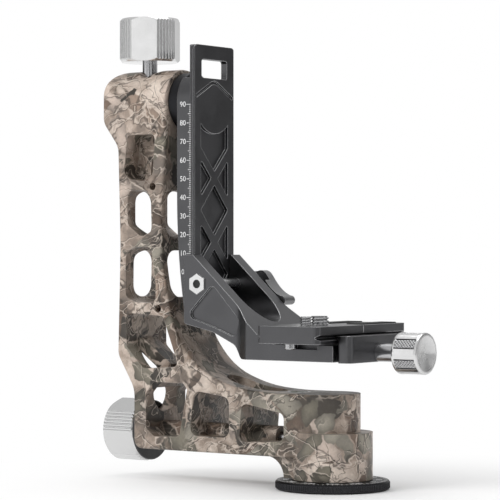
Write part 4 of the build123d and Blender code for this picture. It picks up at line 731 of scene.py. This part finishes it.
@dataclass
class Cradle:
    """The cradle, its clamp lever and its quick-release clamp. Sizes in millimetres."""

    finishes: Finishes
    knob_x: float = 42.0
    knob_length: float = 15.0
    knob_radius: float = 10.75
    axis_z: float = 72.0
    bands: int = 6
    band_width: float = 5.4
    band_depth: float = 0.7
    knurl_pitch: float = 1.7
    knurl_height: float = 0.50

    def knob(self) -> bpy.types.Object:
        """Build the clamp knob: smooth lands, and sunk bands with a diamond knurl."""
        r, end = self.knob_radius, self.knob_length
        steps = round((end - 3.0) / 0.3)
        sides = [(r, 1.5 + (end - 3.0) * i / steps) for i in range(steps + 1)]
        profile = [(0, 0), (3.0, 0), (r - 0.6, 0), (r - 0.15, 0.2), (r, 0.6), (r, 1.46), *sides, (r, end - 1.46),
                   (r, end - 0.9), (r - 0.25, end - 0.3), (r - 0.9, end), (r - 2.0, end), (r - 2.2, end - 0.15),
                   (4.0, end - 0.85), (0, end - 1.2)]
        shape = Shape("clamp_knob")
        place = Matrix.Translation((self.knob_x, 0, self.axis_z)) @ Matrix.Rotation(math.pi / 2, 4, "Y")
        verts = shape.lathe(profile, 300, place)
        half = math.asin(self.band_width / 2 / r)
        floor = r - self.band_depth
        for vert in verts:
            along = vert.co.x - self.knob_x
            y, z = vert.co.y, vert.co.z - self.axis_z
            if math.hypot(y, z) < r - 0.05 or not 1.49 < along < end - 1.49:
                continue
            angle = math.atan2(z, y)
            turned = (angle - math.radians(30)) % (TURN / self.bands)
            off = min(turned, TURN / self.bands - turned)
            if off >= half:
                continue
            phase = TURN * angle * r / self.knurl_pitch
            lift = abs(math.sin((phase + TURN * along / self.knurl_pitch) / 2))
            drop = abs(math.sin((phase - TURN * along / self.knurl_pitch) / 2))
            radius = floor / math.cos(off) + self.knurl_height * min(lift, drop) * (1.0 if off < half * 0.93 else 0.3)
            radius = min(radius, r)
            vert.co.y, vert.co.z = radius * math.cos(angle), self.axis_z + radius * math.sin(angle)
        made = shape.finish("qr_knob", self.finishes.knob, 40.0, ("qr_knob",))
        made.data.materials.append(self.finishes.knob_end)
        made.data.materials.append(self.finishes.knurl)
        # The fourth material paints shade into the knurl's valleys and band rims.
        made.data.materials.append(self.finishes.knurl_floor)
        face_x = (self.knob_x + end - 1.5) * MM
        for polygon in made.data.polygons:
            if polygon.center.x > face_x and polygon.normal.x > 0.8:
                polygon.material_index = 1
            elif polygon.normal.x < 0.5:
                polygon.material_index = self.band_finish(polygon.center)
        return made

    def band_finish(self, centre: Vector) -> int:
        """Return the material number of a face on the knob's side: land, knurl, or painted shade on the band rims and
        in the knurl's valleys.
        """
        along = centre.x / MM - self.knob_x
        y, z = centre.y / MM, centre.z / MM - self.axis_z
        turned = (math.atan2(z, y) - math.radians(30)) % (TURN / self.bands)
        off = min(turned, TURN / self.bands - turned)
        half = math.asin(self.band_width / 2 / self.knob_radius)
        if off >= half * 1.06 or not 1.45 < along < self.knob_length - 1.45:
            return 0
        rise = math.hypot(y, z) - (self.knob_radius - self.band_depth) / math.cos(off)
        return 3 if off > half * 0.86 or rise < self.knurl_height * 0.34 else 2

    def nut_bore(self) -> bpy.types.Object:
        """Build a black disc inside the hex nut's bore: painted shade standing for the bore's dark depth."""
        low, high = (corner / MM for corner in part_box("hex_nut"))
        middle = (low + high) / 2
        # A thin black disc painted into the nut's hole as its shadow.
        shape = Shape("nut_hole_painted_shadow")
        place = Matrix.Translation((middle.x, low.y + 0.7, middle.z)) @ Matrix.Rotation(math.pi / 2, 4, "X")
        shape.lathe([(0, 0), (2.25, 0), (2.25, 0.1), (0, 0.1)], 32, place)
        return shape.finish("cradle", self.finishes.rubber)

    def build(self) -> None:
        """Dress the cradle and its clamp."""
        dress(("cradle", "moving_jaw"), self.finishes.dark)
        dress(("lever_washer", "guide_pins", "qr_screw"), self.finishes.steel)
        dress(("clamp_lever",), self.finishes.blasted)
        dress(("hex_nut", "clamp_bolt"), self.finishes.bright)
        self.knob()
        # Painted shadow disc in the nut's bore.
        self.nut_bore()


@dataclass
class Stud:
    """One captive camera screw. Sizes in millimetres."""

    node: str
    y: float
    radius: float
    pitch: float


@dataclass
class Plate:
    """The quick-release plate with its pads and screws. Sizes in millimetres."""

    finishes: Finishes
    top: float = 86.0
    half_x: float = 19.0
    pad_x: float = 10.6
    pad_half: float = 4.58
    pad_start: float = 4.02
    pad_end: float = 38.48
    pad_top: float = 86.6
    ribs: int = 14

    def pads(self) -> bpy.types.Object:
        """Build the two rubber strips with their cross ribs."""
        shape = Shape("ribbed_pads")
        pitch = (self.pad_end - self.pad_start) / self.ribs
        for side in (-1, 1):
            x = side * self.pad_x
            shape.box((x - self.pad_half, self.pad_start, self.top - 0.6), (x + self.pad_half, self.pad_end, self.pad_top - 0.35))
            for rib in range(self.ribs):
                y = self.pad_start + (rib + 0.5) * pitch
                corners = shape.box((x - self.pad_half, y - pitch * 0.36, self.pad_top - 0.36),
                                    (x + self.pad_half, y + pitch * 0.36, self.pad_top))
                edges = {e for v in corners for e in v.link_edges if e.is_valid and min(p.co.z for p in e.verts) > self.pad_top - 0.1}
                bmesh.ops.bevel(shape.mesh, geom=list(edges), offset=0.2, segments=2, affect="EDGES", profile=0.5, material=-1)
        return shape.finish("qr_plate", self.finishes.rubber, 40.0, ("plate_pads",))

    def thread(self, stud: Stud) -> bpy.types.Object:
        """Build a camera screw with a real thread over its packed neck and head."""
        shape = Shape(stud.node + "_threaded")
        low, high = self.top + 0.2, self.top + 4.6
        shape.take(stud.node)
        cut = bmesh.ops.bisect_plane(shape.mesh, geom=list(shape.mesh.verts) + list(shape.mesh.edges) + list(shape.mesh.faces),
                                     plane_co=(0, 0, low - 0.05), plane_no=(0, 0, 1), clear_outer=True)
        bmesh.ops.holes_fill(shape.mesh, edges=[e for e in cut["geom_cut"] if isinstance(e, bmesh.types.BMEdge)])
        other = bmesh.new()
        crest, root, pitch = stud.radius, stud.radius - 0.55 * stud.pitch, stud.pitch
        turns = int((high - low) / pitch) + 3
        ridge = [other.verts.new((r, 0.0, h)) for r, h in (
            (root, 0.0), (root, pitch * 0.12), (crest, pitch * 0.44), (crest, pitch * 0.56), (root, pitch * 0.88), (root, pitch))]
        lines = [other.edges.new(pair) for pair in zip(ridge, ridge[1:])]
        steps = 40 * turns
        bmesh.ops.spin(other, geom=ridge + lines, cent=(0, 0, 0), axis=(0, 0, 1), dvec=(0, 0, pitch / 40),
                       angle=TURN * turns, steps=steps)
        bmesh.ops.remove_doubles(other, verts=other.verts, dist=0.01)
        bmesh.ops.translate(other, verts=other.verts, vec=(0, stud.y, low - 1.5 * pitch))
        for height, direction in ((high, 1), (low, -1)):
            cut = bmesh.ops.bisect_plane(other, geom=list(other.verts) + list(other.edges) + list(other.faces),
                                         plane_co=(0, 0, height), plane_no=(0, 0, direction), clear_outer=True)
            rim = [e for e in cut["geom_cut"] if isinstance(e, bmesh.types.BMEdge)]
            bmesh.ops.edgeloop_fill(other, edges=rim)
        for vert in other.verts:
            reach = math.hypot(vert.co.x, vert.co.y - stud.y)
            most = crest - max(0.0, vert.co.z - (high - 0.5))
            if reach > most:
                vert.co.x *= most / reach
                vert.co.y = stud.y + (vert.co.y - stud.y) * most / reach
        spare = bpy.data.meshes.new("thread")
        other.to_mesh(spare)
        other.free()
        shape.mesh.from_mesh(spare)
        bpy.data.meshes.remove(spare)
        return shape.finish(stud.node, self.finishes.steel, 40.0, (stud.node,))

    def mark(self) -> bpy.types.Object:
        """Print the centre mark on the plate's edge."""
        shape = Shape("plate_centre_mark")
        shape.box((self.half_x, -0.16, self.top - 3.9), (self.half_x + 0.04, 0.16, self.top - 0.35))
        return shape.finish("qr_plate", self.finishes.ink)

    def build(self) -> None:
        """Dress the plate."""
        dress(("qr_plate",), self.finishes.dark)
        dress(("stop_screws", "stud_clips"), self.finishes.steel)
        self.pads()
        self.mark()
        for stud in (Stud("camera_screw_quarter", -25.0, 3.175, 1.27), Stud("camera_screw_three_eighth", -12.0, 4.76, 1.5875)):
            self.thread(stud)


@dataclass
class LockKnobs:
    """The tilt and pan lock knobs."""

    finishes: Finishes

    def build(self) -> None:
        """Dress both knobs and their screws."""
        dress(("tilt_lock_knob",), self.finishes.tilt_knob)
        dress(("pan_lock_knob",), self.finishes.pan_knob)
        dress(("tilt_lock_screw", "pan_lock_rod"), self.finishes.steel)
        dress(("pan_collar",), self.finishes.collar)


# ---------------------------------------------------------------- studio
@dataclass
class Studio:
    """The camera, the floor and the lights. Sizes in metres."""

    eye: Point = (0.6579, -1.0074, 0.12596)
    look: Point = (-0.5764, 0.8171, 0.0)
    focal_pixels: float = 2303.9
    horizon_row: float = 247.6
    floor_half: float = 6.0
    sky_light: float = 0.42
    sky_shine: float = 0.66

    def camera(self) -> None:
        """Place the camera at the photograph's viewing angle."""
        data = bpy.data.cameras.new("camera")
        data.sensor_width = 36.0
        data.lens = self.focal_pixels * data.sensor_width / IMAGE_SIDE
        data.shift_y = (self.horizon_row - IMAGE_SIDE / 2) / IMAGE_SIDE
        data.clip_start = 0.05
        data.clip_end = 50.0
        camera = bpy.data.objects.new("camera", data)
        camera.location = self.eye
        camera.rotation_euler = Vector(self.look).to_track_quat("-Z", "Y").to_euler()
        bpy.context.scene.collection.objects.link(camera)
        bpy.context.scene.camera = camera

    def floor(self) -> None:
        """Lay a pale floor that keeps the object's shadow and turns white away from it."""
        mesh = bmesh.new()
        bmesh.ops.create_grid(mesh, x_segments=1, y_segments=1, size=self.floor_half)
        data = bpy.data.meshes.new("floor")
        mesh.to_mesh(data)
        mesh.free()
        floor = bpy.data.objects.new("floor", data)
        bpy.context.scene.collection.objects.link(floor)
        material, g, shader = new_material("floor_white")
        where = g.add("TexCoord").outputs["Object"]
        reach = g.add("VectorMath", {0: where}, operation="LENGTH").outputs["Value"]
        away = g.span(reach, 0.02, 0.24)
        path = g.add("LightPath")
        seen = g.math("MAXIMUM", path.outputs["Is Camera Ray"], path.outputs["Is Glossy Ray"])
        seen = g.math("MAXIMUM", seen, path.outputs["Is Transmission Ray"])
        glow = g.add("Emission", {"Color": (1.0, 1.0, 1.0), "Strength": 1.0})
        shader.inputs["Base Color"].default_value = (0.93, 0.93, 0.93, 1.0)
        shader.inputs["Roughness"].default_value = 0.9
        mixed = g.add("MixShader", {0: g.math("MULTIPLY", seen, away), 1: shader.outputs[0], 2: glow.outputs[0]})
        g.feed(material.node_tree.nodes["Material Output"].inputs["Surface"], mixed.outputs[0])
        floor.data.materials.append(material)

    def world(self) -> None:
        """Surround the object with even white light, and show it white to the camera."""
        world = bpy.data.worlds.new("studio")
        bpy.context.scene.world = world
        world.use_nodes = True
        g = Graph(world.node_tree)
        path = g.add("LightPath")
        seen = g.math("MAXIMUM", path.outputs["Is Camera Ray"], path.outputs["Is Transmission Ray"])
        shade = world.node_tree.nodes["Background"]
        plain = g.span(path.outputs["Is Glossy Ray"], 0.0, 1.0, self.sky_light, self.sky_shine)
        g.feed(shade.inputs["Strength"], g.math("MAXIMUM", plain, seen))
        shade.inputs["Color"].default_value = (1.0, 1.0, 1.0, 1.0)

    def lamp(self, name: str, where: Point, size: float, power: float, shines: bool = False) -> None:
        """Hang one soft square light that points at the object's middle."""
        data = bpy.data.lights.new(name, "AREA")
        data.size = size
        data.energy = power
        lamp = bpy.data.objects.new(name, data)
        lamp.visible_glossy = shines
        lamp.location = where
        aim = Vector((-0.04, 0, 0.12)) - Vector(where)
        lamp.rotation_euler = aim.to_track_quat("-Z", "Y").to_euler()
        bpy.context.scene.collection.objects.link(lamp)

    def flag(self, name: str, where: Point, width: float, height: float, shade: float) -> None:
        """Stand a grey card that only shows in reflections, as bright as its shade says."""
        mesh = bmesh.new()
        bmesh.ops.create_grid(mesh, x_segments=1, y_segments=1, size=0.5)
        bmesh.ops.scale(mesh, vec=(width, height, 1), verts=mesh.verts)
        data = bpy.data.meshes.new(name)
        mesh.to_mesh(data)
        mesh.free()
        card = bpy.data.objects.new(name, data)
        card.location = where
        aim = Vector((-0.04, 0, 0.12)) - Vector(where)
        card.rotation_euler = aim.to_track_quat("Z", "Y").to_euler()
        bpy.context.scene.collection.objects.link(card)
        material, g, shader = new_material(name)
        glow = g.add("Emission", {"Color": (1.0, 1.0, 1.0), "Strength": shade})
        g.feed(material.node_tree.nodes["Material Output"].inputs["Surface"], glow.outputs[0])
        material.node_tree.nodes.remove(shader)
        card.data.materials.append(material)
        card.visible_camera = False
        card.visible_diffuse = False
        card.visible_shadow = False

    def build(self) -> None:
        """Set up the whole studio."""
        self.camera()
        self.floor()
        self.world()
        self.lamp("key", (-0.75, -1.35, 0.95), 1.0, 19.0)
        self.lamp("fill", (1.5, -0.3, 0.7), 1.1, 8.0)
        self.lamp("top", (-0.1, 0.25, 1.5), 1.2, 9.0, True)
        self.flag("flag_right", (0.70, 1.0, 0.2), 0.85, 1.5, 0.24)
        self.flag("flag_left", (-1.2, -0.05, 0.2), 0.8, 1.6, 0.03)
        self.flag("flag_front", (0.63, -1.42, 0.15), 0.42, 1.4, 0.10)
        self.flag("flag_side", (1.25, -0.25, 0.15), 0.5, 1.4, 0.02)
        self.flag("flag_near", (-0.32, -1.50, 0.15), 0.14, 1.4, 0.05)
        self.flag("flag_low", (0.55, -0.75, 0.02), 0.9, 0.16, 0.03)
        self.flag("softbox_front", (0.16, -1.60, 0.15), 0.44, 1.5, 1.15)
        self.flag("softbox_left", (-0.98, -1.20, 0.15), 0.70, 1.3, 1.10)
        scene = bpy.context.scene
        scene.view_settings.view_transform = "Standard"


def main() -> None:
    """Build every piece."""
    logging.basicConfig(level=logging.INFO, format="%(name)s %(message)s")
    finishes = Finishes.build()
    for assembly in (Base(finishes), Upright(finishes), SwingArm(finishes), Cradle(finishes), Plate(finishes),
                     LockKnobs(finishes), Studio()):
        LOG.info("building %s", type(assembly).__name__)
        assembly.build()


if __name__ == "__main__":
    main()
